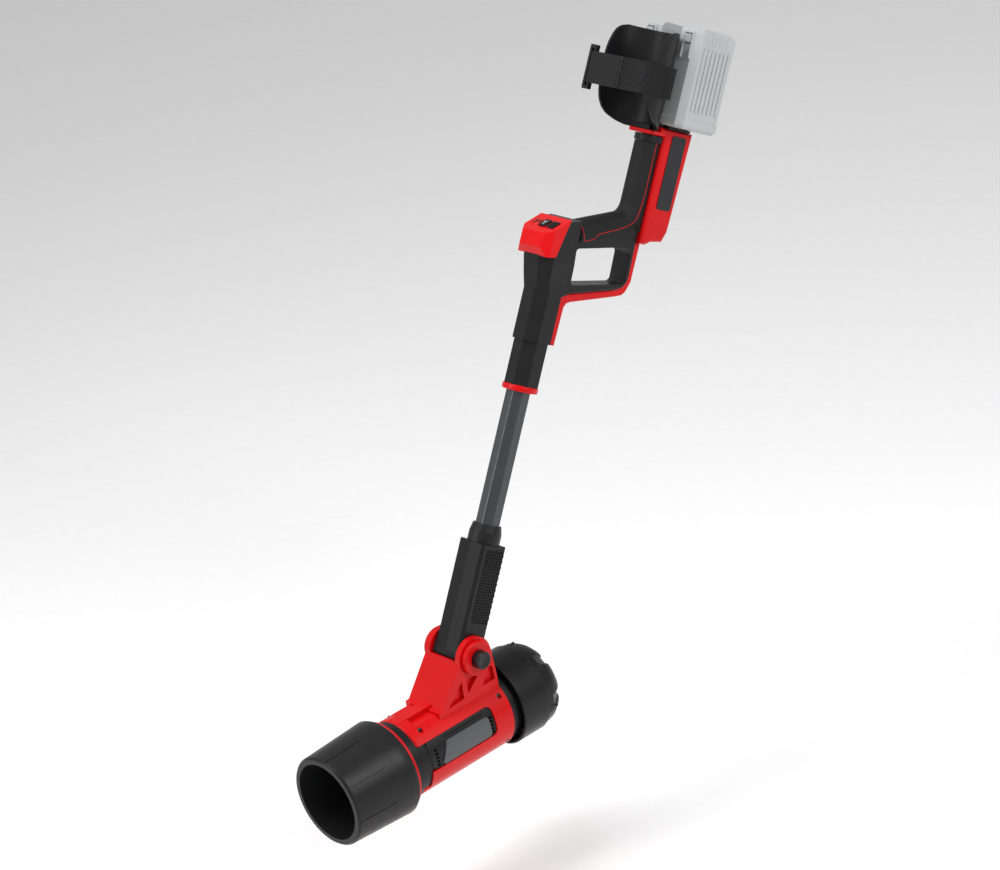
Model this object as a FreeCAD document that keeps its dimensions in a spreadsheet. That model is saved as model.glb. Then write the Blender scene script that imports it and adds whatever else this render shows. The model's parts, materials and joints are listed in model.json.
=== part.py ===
import FreeCAD, Part
import math
import os
import Sketcher

# Cordless axial leaf blower on a long pole.
#
# Row frame: +X is the operator's left, -Y is forward (the air leaves along -Y), +Z is up.
# The origin is the middle of the main hand grip.  Two local frames are used, both with
# their origin on the tilt hinge:
#   pole frame  X lateral, Y back from the pole, Z up along the pole
#   fan frame   X lateral, Y back along the fan's axis, Z up
# Every sub-part is drawn in one of them and then placed in the row frame.

DIMENSIONS = [
    # alias, millimetres or degrees, meaning
    ("lean", 30, "angle between the pole and upright when the fan blows level"),
    ("grip_back", 64, "hand grip centre, back from the pole's axis"),
    ("grip_height", 565, "hand grip centre, along the pole from the hinge"),
    ("fan_drop", 98, "fan axis below the hinge axis"),
    # pole and lower arm
    ("pole_flats", 31, "pole, across flats"),
    ("pole_wall", 1.6, "pole wall"),
    ("pole_foot", 30, "pole's lower end above the hinge"),
    ("pole_head", 505, "pole's upper end above the hinge"),
    ("arm_width", 47, "lower arm, across"),
    ("arm_depth", 43, "lower arm, front to back"),
    ("arm_foot", 12, "lower arm, below the hinge axis"),
    ("arm_top", 144, "lower arm's rails, top end"),
    ("arm_corner", 3.5, "lower arm's corner chamfer"),
    ("arm_ridge", 1.2, "height of the ridge down the arm's front face"),
    ("slot_foot", 42, "lower end of the arm's side slot"),
    ("slot_front", 13, "front edge of the slot, ahead of the pole's axis"),
    ("slot_back", 19.5, "rear edge of the slot"),
    ("insert_radius", 18.9, "inner sleeve in the arm, outer radius"),
    ("collar_radius", 21.2, "clamp collar on top of the arm, radius"),
    ("collar_shoulder", 157, "height at which the collar starts to taper"),
    ("collar_top", 168, "top of the collar"),
    ("collar_tip", 18.6, "radius at the collar's top"),
    ("slide_gap", 0.3, "clearance between pieces that move past each other"),
    # hinge
    ("pin_radius", 6, "hinge pin"),
    ("pin_clearance", 0.05, "radial running clearance on the pin"),
    ("bush_radius", 9, "hinge bush, outer"),
    ("ear_gap", 24.6, "inner face of each bracket ear from the middle"),
    ("ear_thick", 8.4, "bracket ear thickness"),
    ("ear_radius", 27, "rounding of the ears about the hinge axis"),
    ("boss_radius", 23.5, "ring boss on the ear, outer radius"),
    ("boss_height", 7, "ring boss, height over the ear"),
    ("button_radius", 11.8, "push button"),
    ("button_face", 51, "push button's face from the middle"),
    ("button_travel", 4, "push button's travel"),
    # fan unit, along the fan's axis from the hinge: minus is forward
    ("duct_bore", 43, "air duct, inner radius"),
    ("duct_radius", 45.5, "air duct, outer radius under the red shell"),
    ("duct_collar", 51.5, "radius of the duct's collars under the shell"),
    ("collar_face", 53, "radius of the front collar where it shows ahead of the shell"),
    ("spigot_radius", 49.5, "radius of the spigot that carries the nozzle"),
    ("duct_front", -178, "front end of the duct's spigot"),
    ("collar_front", -141, "front face of the duct's front collar"),
    ("collar_rear", -112, "rear face of the duct's front collar"),
    ("duct_rear", 39, "rear end of the duct"),
    ("shell_radius", 53.5, "red fan shell, outer radius"),
    ("shell_front", -125, "front edge of the red shell"),
    ("shell_rear", 30, "rear edge of the red shell"),
    ("side_front", -114, "front edge of the red shell on its sides, set back"),
    ("side_foot", -42, "lower end of that set-back edge, over the fan's axis"),
    ("window_rear", -0.5, "rear end of the side window"),
    ("window_top", 31, "upper edge of the window over the fan's axis"),
    ("window_foot", -8.5, "lower edge of the window"),
    ("panel_radius", 51.6, "side panel, outer radius"),
    ("plate_radius", 53.2, "raised plate on the side panel, outer radius"),
    ("seal_radius", 61.5, "red seal ring, outer radius"),
    ("seal_front", -145.5, "front face of the seal ring"),
    ("nozzle_front", -247, "front rim of the nozzle"),
    ("nozzle_rear", -147, "rear rim of the nozzle"),
    ("nozzle_rim", 61.5, "nozzle radius at the front rim"),
    ("nozzle_tail", 66.3, "nozzle radius near the rear"),
    ("nozzle_bore", 52.5, "nozzle opening radius at the front"),
    ("ring_front", 42, "front edge of the intake ring"),
    ("ring_rear", 87, "rear edge of the intake ring"),
    ("ring_radius", 60.8, "intake ring, outer radius"),
    ("guard_rear", 118, "rear face of the intake guard"),
    ("guard_radius", 58.5, "guard radius beside the intake ring"),
    ("guard_tip", 43.5, "guard radius at its rear face"),
    ("rotor_radius", 42.3, "impeller blade tip radius"),
    ("hub_radius", 19, "impeller hub radius"),
    ("rotor_length", 26, "impeller hub length"),
    ("rotor_front", -26, "front face of the impeller hub"),
    ("shaft_radius", 2.5, "motor shaft"),
    ("motor_radius", 16.5, "motor can"),
    ("motor_length", 42, "motor can length"),
    # handle
    ("sleeve_foot", 352, "lower end of the pole sleeve"),
    ("sleeve_step", 410, "height where the sleeve gets thicker"),
    ("sleeve_width", 43, "sleeve, across"),
    ("sleeve_depth", 46, "sleeve, front to back"),
    ("sleeve_back", 2, "sleeve centre behind the pole's axis"),
    ("sleeve_corner", 13.5, "sleeve corner chamfer"),
    ("head_width", 58, "control head, across"),
    ("grip_radius", 18, "horizontal grip, radius with its rubber"),
    ("post_radius", 19, "upright grip, radius with its rubber"),
    ("rubber", 2, "thickness of the rubber on the grips"),
    ("post_back", 128, "upright grip's axis behind the pole's axis"),
    ("grip_rise", 17, "slope of the horizontal grip, degrees"),
    ("loop_width", 30, "hand guard loop, across"),
    ("seam_back", 134, "front edge of the red spine"),
    ("spine_back", 181, "rear face of the red spine"),
    ("spine_width", 44, "red spine, across"),
    ("spine_foot", 570, "lower end of the red spine"),
    ("spine_top", 713, "upper end of the red spine"),
    ("trim_width", 24, "red edge of the loop, across"),
    # forearm cuff and battery packs
    ("cuff_back", 72, "centre line of the cuff behind the pole's axis"),
    ("cuff_radius", 47.5, "cuff, outer radius"),
    ("cuff_wall", 3.2, "cuff wall"),
    ("cuff_foot", 706, "lower end of the cuff"),
    ("cuff_top", 833, "upper end of the cuff"),
    ("strap_foot", 748, "lower edge of the strap"),
    ("strap_top", 788, "upper edge of the strap"),
    ("strap_thick", 3, "strap thickness"),
    ("dock_half", 15.5, "half width of the battery dock"),
    ("pack_inner", 17.5, "inner face of a battery pack"),
    ("pack_outer", 53, "outer face of a battery pack"),
    ("pack_front", 121, "front face of a pack"),
    ("pack_back", 200, "rear face of a pack"),
    ("pack_foot", 719, "lower face of a pack"),
    ("pack_top", 848, "upper face of a pack"),
    ("pack_corner", 9, "corner rounding of a pack"),
]

document = FreeCAD.newDocument("LeafBlower")
sheet = document.addObject("Spreadsheet::Sheet", "Size")
for row, (alias, size, meaning) in enumerate(DIMENSIONS, start=1):
    sheet.set("A%d" % row, meaning)
    sheet.set("B%d" % row, str(size))
    sheet.setAlias("B%d" % row, alias)
document.recompute()

parts = []


def amount(expression):
    """A plain number, or the present value of an expression on the sheet."""
    if isinstance(expression, (int, float)):
        return float(expression)
    return float(sheet.evalExpression(expression))


def bind(feature, property_name, expression):
    """Tie a property to an expression on the sheet, or set a plain number."""
    if isinstance(expression, str):
        feature.setExpression(property_name, expression)
        return
    feature.setExpression(property_name, repr(float(expression)))


LEAN = amount("Size.lean")
HINGE = FreeCAD.Vector(
    0,
    -(amount("Size.grip_height") * math.sin(math.radians(LEAN))
      + amount("Size.grip_back") * math.cos(math.radians(LEAN))),
    -(amount("Size.grip_height") * math.cos(math.radians(LEAN))
      - amount("Size.grip_back") * math.sin(math.radians(LEAN))))
POLE_FRAME = FreeCAD.Placement(HINGE, FreeCAD.Rotation(FreeCAD.Vector(1, 0, 0), -LEAN))
FAN_FRAME = FreeCAD.Placement(HINGE, FreeCAD.Rotation())
AXIS_FRAME = FreeCAD.Placement(HINGE - FreeCAD.Vector(0, 0, amount("Size.fan_drop")), FreeCAD.Rotation())


def finish(feature, label, frame):
    """Name a finished sub-part, place it in the row frame and list it for export."""
    if feature.TypeId in ("Part::Cylinder", "Part::Cone", "Part::Box"):
        holder = document.addObject("Part::Compound", "Single")
        holder.Links = [feature]
        feature = holder
    feature.Label = label
    feature.Placement = frame
    parts.append(feature)
    return feature


# ---------------------------------------------------------------- building blocks
TURN_TO = {
    "X": FreeCAD.Rotation(FreeCAD.Vector(0, 0, 1), FreeCAD.Vector(1, 0, 0)),
    "Y": FreeCAD.Rotation(FreeCAD.Vector(0, 0, 1), FreeCAD.Vector(0, 1, 0)),
    "Z": FreeCAD.Rotation(),
}


def put(feature, corner):
    """Bind a primitive's place to three expressions."""
    for axis, expression in zip("xyz", corner):
        bind(feature, ".Placement.Base." + axis, expression)


def box(corner, size):
    """Block from its lowest corner and its three sizes, each an expression or number."""
    block = document.addObject("Part::Box", "Block")
    for name, expression in zip(("Length", "Width", "Height"), size):
        bind(block, name, expression)
    put(block, corner)
    return block


def rod(axis, radius, length, start):
    """Cylinder along X, Y or Z from its start point."""
    cylinder = document.addObject("Part::Cylinder", "Rod")
    cylinder.Placement = FreeCAD.Placement(FreeCAD.Vector(), TURN_TO[axis])
    bind(cylinder, "Radius", radius)
    bind(cylinder, "Height", length)
    put(cylinder, start)
    return cylinder


def cone(axis, first, second, length, start):
    """Cone frustum along X, Y or Z from its start point."""
    frustum = document.addObject("Part::Cone", "Taper")
    frustum.Placement = FreeCAD.Placement(FreeCAD.Vector(), TURN_TO[axis])
    bind(frustum, "Radius1", first)
    bind(frustum, "Radius2", second)
    bind(frustum, "Height", length)
    put(frustum, start)
    return frustum


def prism(flats, length, start):
    """Octagonal bar along Z with its flats facing X and Y."""
    bar = document.addObject("Part::Prism", "Octagon")
    bar.Polygon = 8
    bar.Placement = FreeCAD.Placement(FreeCAD.Vector(), FreeCAD.Rotation(FreeCAD.Vector(0, 0, 1), 22.5))
    bind(bar, "Circumradius", "(%s) / 2 / cos(22.5 deg)" % flats)
    bind(bar, "Height", length)
    put(bar, start)
    return bar


def join(*pieces):
    """Union of several shapes."""
    fused = document.addObject("Part::MultiFuse", "Joined")
    fused.Shapes = list(pieces)
    return fused


def cut(base, *tools):
    """Base with every tool taken away."""
    result = base
    for tool in tools:
        remaining = document.addObject("Part::Cut", "Cut")
        remaining.Base = result
        remaining.Tool = tool
        result = remaining
    return result


def common(base, tool):
    """What two shapes share."""
    shared = document.addObject("Part::Common", "Shared")
    shared.Base = base
    shared.Tool = tool
    return shared


def outline(body, plane, points, name="Outline"):
    """Closed sketch through the points, each coordinate fixed by its expression."""
    sketch = body.newObject("Sketcher::SketchObject", name)
    support = [feature for feature in body.Origin.OriginFeatures if feature.Role == plane][0]
    sketch.AttachmentSupport = (support, "")
    sketch.MapMode = "FlatFace"
    corners = [FreeCAD.Vector(amount(across), amount(up), 0) for across, up in points]
    for start, end in zip(corners, corners[1:] + corners[:1]):
        sketch.addGeometry(Part.LineSegment(start, end))
    count = len(points)
    for index in range(count):
        following = (index + 1) % count
        sketch.addConstraint(Sketcher.Constraint("Coincident", index, 2, following, 1))
    for index, (across, up) in enumerate(points):
        for kind, expression in (("DistanceX", across), ("DistanceY", up)):
            fixed = sketch.addConstraint(Sketcher.Constraint(kind, index, 1, amount(expression)))
            if isinstance(expression, str):
                sketch.setExpression("Constraints[%d]" % fixed, expression)
    return sketch


def padded(plane, points, length, midplane=True, reverse=False):
    """PartDesign body: an outline padded square to its plane."""
    body = document.addObject("PartDesign::Body", "Body")
    sketch = outline(body, plane, points)
    pad = body.newObject("PartDesign::Pad", "Pad")
    pad.Profile = sketch
    pad.SideType = "Symmetric" if midplane else "One side"
    pad.Reversed = reverse
    bind(pad, "Length", length)
    body.Tip = pad
    return body


def turned(points):
    """PartDesign body: a (along, radius) outline revolved about the local Y axis."""
    body = document.addObject("PartDesign::Body", "Body")
    sketch = outline(body, "YZ_Plane", points)
    revolution = body.newObject("PartDesign::Revolution", "Revolution")
    revolution.Profile = sketch
    revolution.ReferenceAxis = (sketch, ["H_Axis"])
    revolution.Angle = 360
    body.Tip = revolution
    return body


def rounded(body, radius, wanted):
    """Fillet the edges of a body for which wanted(edge) is true."""
    document.recompute()
    tip = body.Tip
    names = ["Edge%d" % (i + 1) for i, edge in enumerate(tip.Shape.Edges) if wanted(edge)]
    fillet = body.newObject("PartDesign::Fillet", "Fillet")
    fillet.Base = (tip, names)
    bind(fillet, "Radius", radius)
    body.Tip = fillet
    return body


def softened(shape, radius, wanted):
    """Fillet the chosen edges of a Part shape."""
    document.recompute()
    fillet = document.addObject("Part::Fillet", "Softened")
    fillet.Base = shape
    size = amount(radius)
    fillet.Edges = [(i + 1, size, size) for i, edge in enumerate(shape.Shape.Edges) if wanted(edge)]
    return fillet


def along(axis):
    """Test for straight edges parallel to X, Y or Z."""
    direction = FreeCAD.Vector(*[1.0 if axis == name else 0.0 for name in "XYZ"])

    def test(edge):
        if edge.Curve.TypeId != "Part::GeomLine":
            return False
        return abs(abs(edge.Curve.Direction.dot(direction)) - 1) < 1e-6
    return test


def half(shape, side):
    """The part of a shape on one side of the middle plane: side is +1 left, -1 right."""
    reach = 1200
    start = 0 if side > 0 else -reach
    return common(shape, box((start, -reach, -reach), (reach, 2 * reach, 2 * reach)))


def plain(shape):
    """Document feature for a shape worked out with Part's own functions."""
    feature = document.addObject("Part::Feature", "Shaped")
    feature.Shape = shape
    return feature


# ---------------------------------------------------------------- nozzle, duct, seal
def nozzle():
    """Cone that slides over the duct's front; thin grooves run back from its rim."""
    shell = turned([
        ("Size.nozzle_front", "Size.nozzle_bore"),
        ("Size.nozzle_front", "Size.nozzle_rim - 2.5"),
        ("Size.nozzle_front + 3", "Size.nozzle_rim"),
        ("Size.nozzle_rear - 3", "Size.nozzle_tail"),
        ("Size.nozzle_rear", "Size.nozzle_tail - 1.8"),
        ("Size.nozzle_rear", "Size.nozzle_tail - 5"),
        ("Size.nozzle_front + 14", "Size.nozzle_rim - 3.5"),
        ("Size.nozzle_front + 14", "Size.nozzle_bore + 2.6"),
        ("Size.nozzle_rear", "Size.spigot_radius + 3"),
        ("Size.nozzle_rear", "Size.spigot_radius + Size.slide_gap"),
        ("Size.duct_front - 4", "Size.spigot_radius + Size.slide_gap"),
        ("Size.nozzle_front + 30", "Size.nozzle_bore - 2"),
    ])
    grooves = []
    for step in range(8):
        angle = step * 45 + 10
        slot = document.addObject("Part::Box", "Groove")
        turn = FreeCAD.Rotation(FreeCAD.Vector(0, 1, 0), angle)
        slope = math.degrees(math.atan2(
            amount("Size.nozzle_tail - Size.nozzle_rim"),
            amount("Size.nozzle_rear - Size.nozzle_front")))
        tilt = FreeCAD.Rotation(FreeCAD.Vector(1, 0, 0), slope)
        slot.Length = 1.0
        bind(slot, "Width", "(Size.nozzle_rear - Size.nozzle_front) * 0.6")
        slot.Height = 3
        start = FreeCAD.Vector(-0.5, amount("Size.nozzle_front"), amount("Size.nozzle_rim") - 1.0)
        slot.Placement = FreeCAD.Placement(turn.multVec(start), turn.multiply(tilt))
        grooves.append(slot)
    finish(cut(shell, join(*grooves)), "nozzle", AXIS_FRAME)


def duct_tube():
    """Air duct: spigot for the nozzle, front collar, tube under the shell, rear collar."""
    finish(turned([
        ("Size.duct_front", "Size.spigot_radius - 2.5"),
        ("Size.duct_front", "Size.spigot_radius"),
        ("Size.collar_front", "Size.spigot_radius"),
        ("Size.collar_front", "Size.collar_face - 1"),
        ("Size.collar_front + 1", "Size.collar_face"),
        ("Size.shell_front - 0.3", "Size.collar_face"),
        ("Size.shell_front - 0.3", "Size.duct_collar"),
        ("Size.collar_rear", "Size.duct_collar"),
        ("Size.collar_rear", "Size.duct_radius"),
        ("Size.shell_rear + 0.3", "Size.duct_radius"),
        ("Size.shell_rear + 0.3", "Size.duct_collar"),
        ("Size.duct_rear", "Size.duct_collar"),
        ("Size.duct_rear", "Size.duct_bore"),
        ("Size.collar_front - 4", "Size.duct_bore"),
    ]), "duct_tube", AXIS_FRAME)


def seal_ring():
    """Red ring on the spigot that the nozzle closes against."""
    finish(turned([
        ("Size.seal_front", "Size.spigot_radius"),
        ("Size.seal_front", "Size.seal_radius - 1"),
        ("Size.seal_front + 1", "Size.seal_radius"),
        ("Size.collar_front - 1", "Size.seal_radius"),
        ("Size.collar_front", "Size.seal_radius - 1"),
        ("Size.collar_front", "Size.spigot_radius"),
    ]), "seal_ring", AXIS_FRAME)


# ---------------------------------------------------------------- red fan shell
SHELL_SCREWS = [
    # Y along the fan, height over the fan's axis, distance of the screw's seat from the middle
    ("Size.shell_front + 19", 42.5, 26),
    ("Size.shell_rear - 10", 33, 36),
    ("Size.shell_rear - 8", -34, 35),
    ("Size.shell_front + 22", -46, 20),
]


# inner face of the side windows and panels, from the middle
PANEL_INNER = 41
# the raised plate in side view, (Y, height over the fan's axis); its front end slants
PLATE_SIDE = [(-97, -7), (-81, 20.5), (-10, 20.5), (-10, -6.5)]


def bracket_side():
    """Side view of a bracket ear, (Y, height over the fan's axis), front edge raked."""
    return [
        (-73, 43),
        (-7, "Size.fan_drop + 25.9"),
        (0, "Size.fan_drop + 25"),
        ("Size.ear_radius", "Size.fan_drop"),
        (30, 60),
        (30, 40),
        (-73, 40),
    ]


EAR_POCKETS = [
    # triangular pockets in an ear's outer face, (Y, height over the fan's axis)
    [(-56, 50), (-28, 76), (-29, 51)],
    [(-20, 76), (0, 73), (-21, 55)],
    [(19, 75), (25, 74), (26, 54), (4, 54)],
]


def fan_shell_whole():
    """Red shell with its saddle, ears, front web and side windows, before it is split."""
    tube = turned([
        ("Size.shell_front", "Size.duct_collar + 0.2"),
        ("Size.shell_front", "Size.shell_radius - 1.5"),
        ("Size.shell_front + 2", "Size.shell_radius"),
        ("Size.shell_rear - 1", "Size.shell_radius"),
        ("Size.shell_rear", "Size.shell_radius - 1"),
        ("Size.shell_rear", "Size.duct_radius + 0.2"),
        ("Size.collar_rear + 0.3", "Size.duct_radius + 0.2"),
        ("Size.collar_rear + 0.3", "Size.duct_collar + 0.2"),
    ])
    saddle = box(("-Size.ear_gap - Size.ear_thick", -73, 30),
                 ("2 * Size.ear_gap + 2 * Size.ear_thick", 103, 20))
    ears = padded("YZ_Plane", bracket_side(), "2 * Size.ear_gap + 2 * Size.ear_thick")
    crown = rod("X", "Size.ear_radius", "2 * Size.ear_gap + 2 * Size.ear_thick",
                ("-Size.ear_gap - Size.ear_thick", 0, "Size.fan_drop"))
    bosses = [rod("X", "Size.boss_radius", "Size.boss_height", (start, 0, "Size.fan_drop"))
              for start in ("Size.ear_gap + Size.ear_thick",
                            "-Size.ear_gap - Size.ear_thick - Size.boss_height")]
    bosses = [softened(boss, 1.8, lambda edge: edge.Length > 100) for boss in bosses]
    between = padded("YZ_Plane", [
        (-64, 50),
        (-23.7, "Size.fan_drop + 1.0"),
        (-20, "Size.fan_drop + 40"),
        (60, "Size.fan_drop + 40"),
        (60, 50),
    ], "2 * Size.ear_gap")
    above_web = box(("-Size.ear_gap", -40, "Size.fan_drop + 3"), ("2 * Size.ear_gap", 80, 60))
    pockets = []
    reach = amount("Size.ear_gap + Size.ear_thick")
    for points in EAR_POCKETS:
        for side in (1, -1):
            pocket = padded("YZ_Plane", points, 5.5, midplane=False, reverse=side > 0)
            pocket.Placement = FreeCAD.Placement(FreeCAD.Vector(side * reach, 0, 0), FreeCAD.Rotation())
            pockets.append(pocket)
    bracket = cut(join(ears, crown, saddle), between, above_web, join(*pockets))
    flat_top = cut(
        box((-26, "Size.collar_rear + 4", 47.5), (52, 46, 10)),
        box((-9, "Size.collar_rear", 40), (18, 60, 20)))
    ridge = common(
        box((-9, "Size.shell_front + 4", 40), (18, 66, 13.4)),
        rod("Y", "Size.shell_radius + 3", 200, (0, -150, 0)))
    bore = rod("Y", "Size.duct_radius + 0.2", 400, (0, "Size.collar_rear + 0.3", 0))
    collar_bore = rod("Y", "Size.duct_collar + 0.2", 60, (0, "Size.collar_rear - 59.7", 0))
    body = cut(join(cut(tube, flat_top), bracket, ridge, *bosses), bore, collar_bore)
    window = softened(
        box((-80, "Size.side_front - 40", "Size.window_foot"),
            (160, "Size.window_rear - Size.side_front + 40", "Size.window_top - Size.window_foot")),
        8, along("X"))
    set_back = softened(
        box((-80, "Size.side_front - 40", "Size.side_foot"),
            (160, 40, "Size.window_top - Size.side_foot")),
        6, along("X"))
    keep = join(box((-PANEL_INNER, -200, -60), (2 * PANEL_INNER, 300, 120)),
                rod("Y", "Size.duct_radius", 300, (0, -200, 0)))
    hinge_hole = rod("X", "Size.pin_radius", 120, (-60, 0, "Size.fan_drop"))
    button_wells = [rod("X", "Size.button_radius + 0.4", 20, (start, 0, "Size.fan_drop"))
                    for start in ("Size.ear_gap + Size.ear_thick", "-Size.ear_gap - Size.ear_thick - 20")]
    screw_holes = []
    for along_fan, height, seat in SHELL_SCREWS:
        for start in (seat, -seat - 40):
            screw_holes.append(rod("X", 3.4, 40, (start, along_fan, height)))
    return cut(body, cut(join(window, set_back), keep), hinge_hole, join(*button_wells), join(*screw_holes))


def fan_shells():
    """The red shell's two halves, screwed together on the middle plane."""
    whole = fan_shell_whole()
    finish(half(whole, 1), "fan_shell_left", AXIS_FRAME)
    finish(half(whole, -1), "fan_shell_right", AXIS_FRAME)


def fan_screws():
    """Screws that hold the two red halves, one solid each."""
    heads = []
    for along_fan, height, seat in SHELL_SCREWS:
        for start in (seat, -seat - 4):
            heads.append(cut(
                rod("X", 3.1, 4, (start, along_fan, height)),
                box((seat + 2.5 if start > 0 else -seat - 4, "%s - 0.6" % along_fan, height - 2.2),
                    (1.5, 1.2, 4.4))))
    finish(join(*heads), "fan_screws", AXIS_FRAME)


def side_panels():
    """Black panel in each side window with a blank raised plate on it."""
    front = "Size.collar_rear + 0.3"
    panel_skin = rod("Y", "Size.panel_radius", 300, (0, -200, 0))
    plate_skin = cut(rod("Y", "Size.plate_radius", 300, (0, -200, 0)), panel_skin)
    core = rod("Y", "Size.duct_radius + 0.2", 300, (0, -200, 0))
    for side, name in ((1, "left"), (-1, "right")):
        start = PANEL_INNER if side > 0 else -PANEL_INNER - 20
        block = softened(
            box((start, front, "Size.window_foot + 0.4"),
                (20, "Size.window_rear - 0.4 - (%s)" % front, "Size.window_top - Size.window_foot - 0.8")),
            7, along("X"))
        lip = PANEL_INNER + 4.5
        slots = []
        for step in range(5):
            for place in ("%s + 8" % front, "Size.window_rear - 8"):
                slots.append(box((lip if side > 0 else -lip - 10, place, -5 + step * 5), (10, 4.5, 3)))
        rail = box((lip - 1.5 if side > 0 else -lip - 8.5, "Size.window_rear - 82", 25), (10, 66, 1.4))
        panel = cut(common(block, panel_skin), core, join(*slots), rail)
        finish(panel, "side_panel_" + name, AXIS_FRAME)
        plate = rounded(padded("YZ_Plane", PLATE_SIDE, 200), 4, along("X"))
        outside = box((start, -200, -60), (20, 300, 120))
        finish(common(common(plate, outside), plate_skin), "side_plate_" + name, AXIS_FRAME)


# ---------------------------------------------------------------- intake
def intake_ring():
    """Wide ring behind a deep groove; its inside is a bell that leads into the duct."""
    finish(turned([
        ("Size.duct_rear + 0.3", "Size.duct_bore"),
        ("Size.duct_rear + 0.3", "Size.spigot_radius"),
        ("Size.ring_rear - 23", "Size.spigot_radius"),
        ("Size.ring_rear - 23", "Size.ring_radius - 3"),
        ("Size.ring_front", "Size.ring_radius - 3"),
        ("Size.ring_front", "Size.ring_radius - 1.2"),
        ("Size.ring_front + 1.2", "Size.ring_radius"),
        ("Size.ring_rear - 1", "Size.ring_radius"),
        ("Size.ring_rear", "Size.ring_radius - 1"),
        ("Size.ring_rear", "Size.ring_radius - 5"),
        ("Size.ring_rear - 12", "Size.ring_radius - 8"),
        ("Size.ring_rear - 19", "Size.duct_bore + 5"),
        ("Size.ring_rear - 24", "Size.duct_bore"),
    ]), "intake_ring", AXIS_FRAME)


def spun(size, corner, degrees, extra=0):
    """Block of a plain size, its corner turned about the fan's axis, itself turned by extra more."""
    turn = FreeCAD.Rotation(FreeCAD.Vector(0, 1, 0), degrees)
    block = document.addObject("Part::Box", "Spun")
    block.Length, block.Width, block.Height = size
    block.Placement = FreeCAD.Placement(
        turn.multVec(FreeCAD.Vector(*corner)),
        turn.multiply(FreeCAD.Rotation(FreeCAD.Vector(0, 1, 0), extra)))
    return block


def intake_guard():
    """Tapered rear guard: notched wall, lugs, and a grille of rings and spokes."""
    wall = turned([
        ("Size.ring_rear + 0.3", "Size.guard_radius - 3"),
        ("Size.ring_rear + 0.3", "Size.guard_radius"),
        ("Size.guard_rear - 13", "Size.guard_radius - 3.5"),
        ("Size.guard_rear - 6", "Size.guard_tip + 6.5"),
        ("Size.guard_rear", "Size.guard_tip"),
        ("Size.guard_rear", "Size.guard_tip - 3"),
        ("Size.guard_rear - 6", "Size.guard_tip + 3.5"),
        ("Size.guard_rear - 13", "Size.guard_radius - 6.5"),
    ])
    notches = []
    lugs = []
    for step in range(6):
        turn = step * 60 + 20
        notches.append(spun(
            (26, 9, 12), (-13, amount("Size.guard_rear - 8"), amount("Size.guard_tip - 5")), turn))
        lugs.append(spun(
            (9, 15, 4.5), (17, amount("Size.ring_rear + 1"), amount("Size.guard_radius - 5.6")), turn, 22))
    rings = []
    for radius in (14, 26, 38):
        rings.append(cut(rod("Y", radius + 1.1, 3, (0, "Size.guard_rear - 12", 0)),
                         rod("Y", radius - 1.1, 3, (0, "Size.guard_rear - 12", 0))))
    spokes = []
    for step in range(6):
        spokes.append(spun(
            (amount("Size.guard_tip - 5"), 3, 2.4), (13, amount("Size.guard_rear - 12"), -1.2),
            step * 60 + 50))
    finish(join(cut(wall, join(*notches)), *rings, *spokes, *lugs), "intake_guard", AXIS_FRAME)


# ---------------------------------------------------------------- motor and impeller
def motor_parts():
    """Motor in a vaned mount inside the duct, with its nose cone and bearings."""
    front = "Size.rotor_front - 3 - Size.motor_length"
    cup = cut(
        rod("Y", "Size.motor_radius + 2.2", "Size.motor_length + 2", (0, front, 0)),
        rod("Y", "Size.motor_radius", "Size.motor_length", (0, "%s + 2" % front, 0)))
    vanes = []
    for step in range(7):
        turn = FreeCAD.Rotation(FreeCAD.Vector(0, 1, 0), step * 360 / 7)
        vane = document.addObject("Part::Box", "Vane")
        bind(vane, "Length", "Size.duct_bore - Size.motor_radius - 0.8")
        bind(vane, "Width", "Size.motor_length - 6")
        vane.Height = 1.8
        vane.Placement = FreeCAD.Placement(
            turn.multVec(FreeCAD.Vector(amount("Size.motor_radius") + 1, amount(front) + 3, -0.9)), turn)
        vanes.append(vane)
    inside = rod("Y", "Size.duct_bore", 100, (0, -110, 0))
    mount = join(cup, *[common(vane, inside) for vane in vanes])
    finish(mount, "motor_mount", AXIS_FRAME)
    can = cut(
        rod("Y", "Size.motor_radius", "Size.motor_length - 1", (0, "%s + 2" % front, 0)),
        rod("Y", 6.5, 5, (0, "%s + 2" % front, 0)),
        rod("Y", 6.5, 5, (0, "%s + Size.motor_length - 4" % front, 0)),
        rod("Y", "Size.shaft_radius + 0.6", 100, (0, -100, 0)))
    finish(can, "motor_can", AXIS_FRAME)
    for name, start in (("motor_bearing_front", "%s + 2" % front),
                        ("motor_bearing_rear", "%s + Size.motor_length - 4" % front)):
        race = cut(rod("Y", 6.5, 5, (0, start, 0)),
                   rod("Y", "Size.shaft_radius + Size.pin_clearance", 5, (0, start, 0)))
        finish(race, name, AXIS_FRAME)
    finish(cone("Y", 5, "Size.motor_radius + 2.2", 34, (0, "%s - 34" % front, 0)), "motor_nose", AXIS_FRAME)


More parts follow.
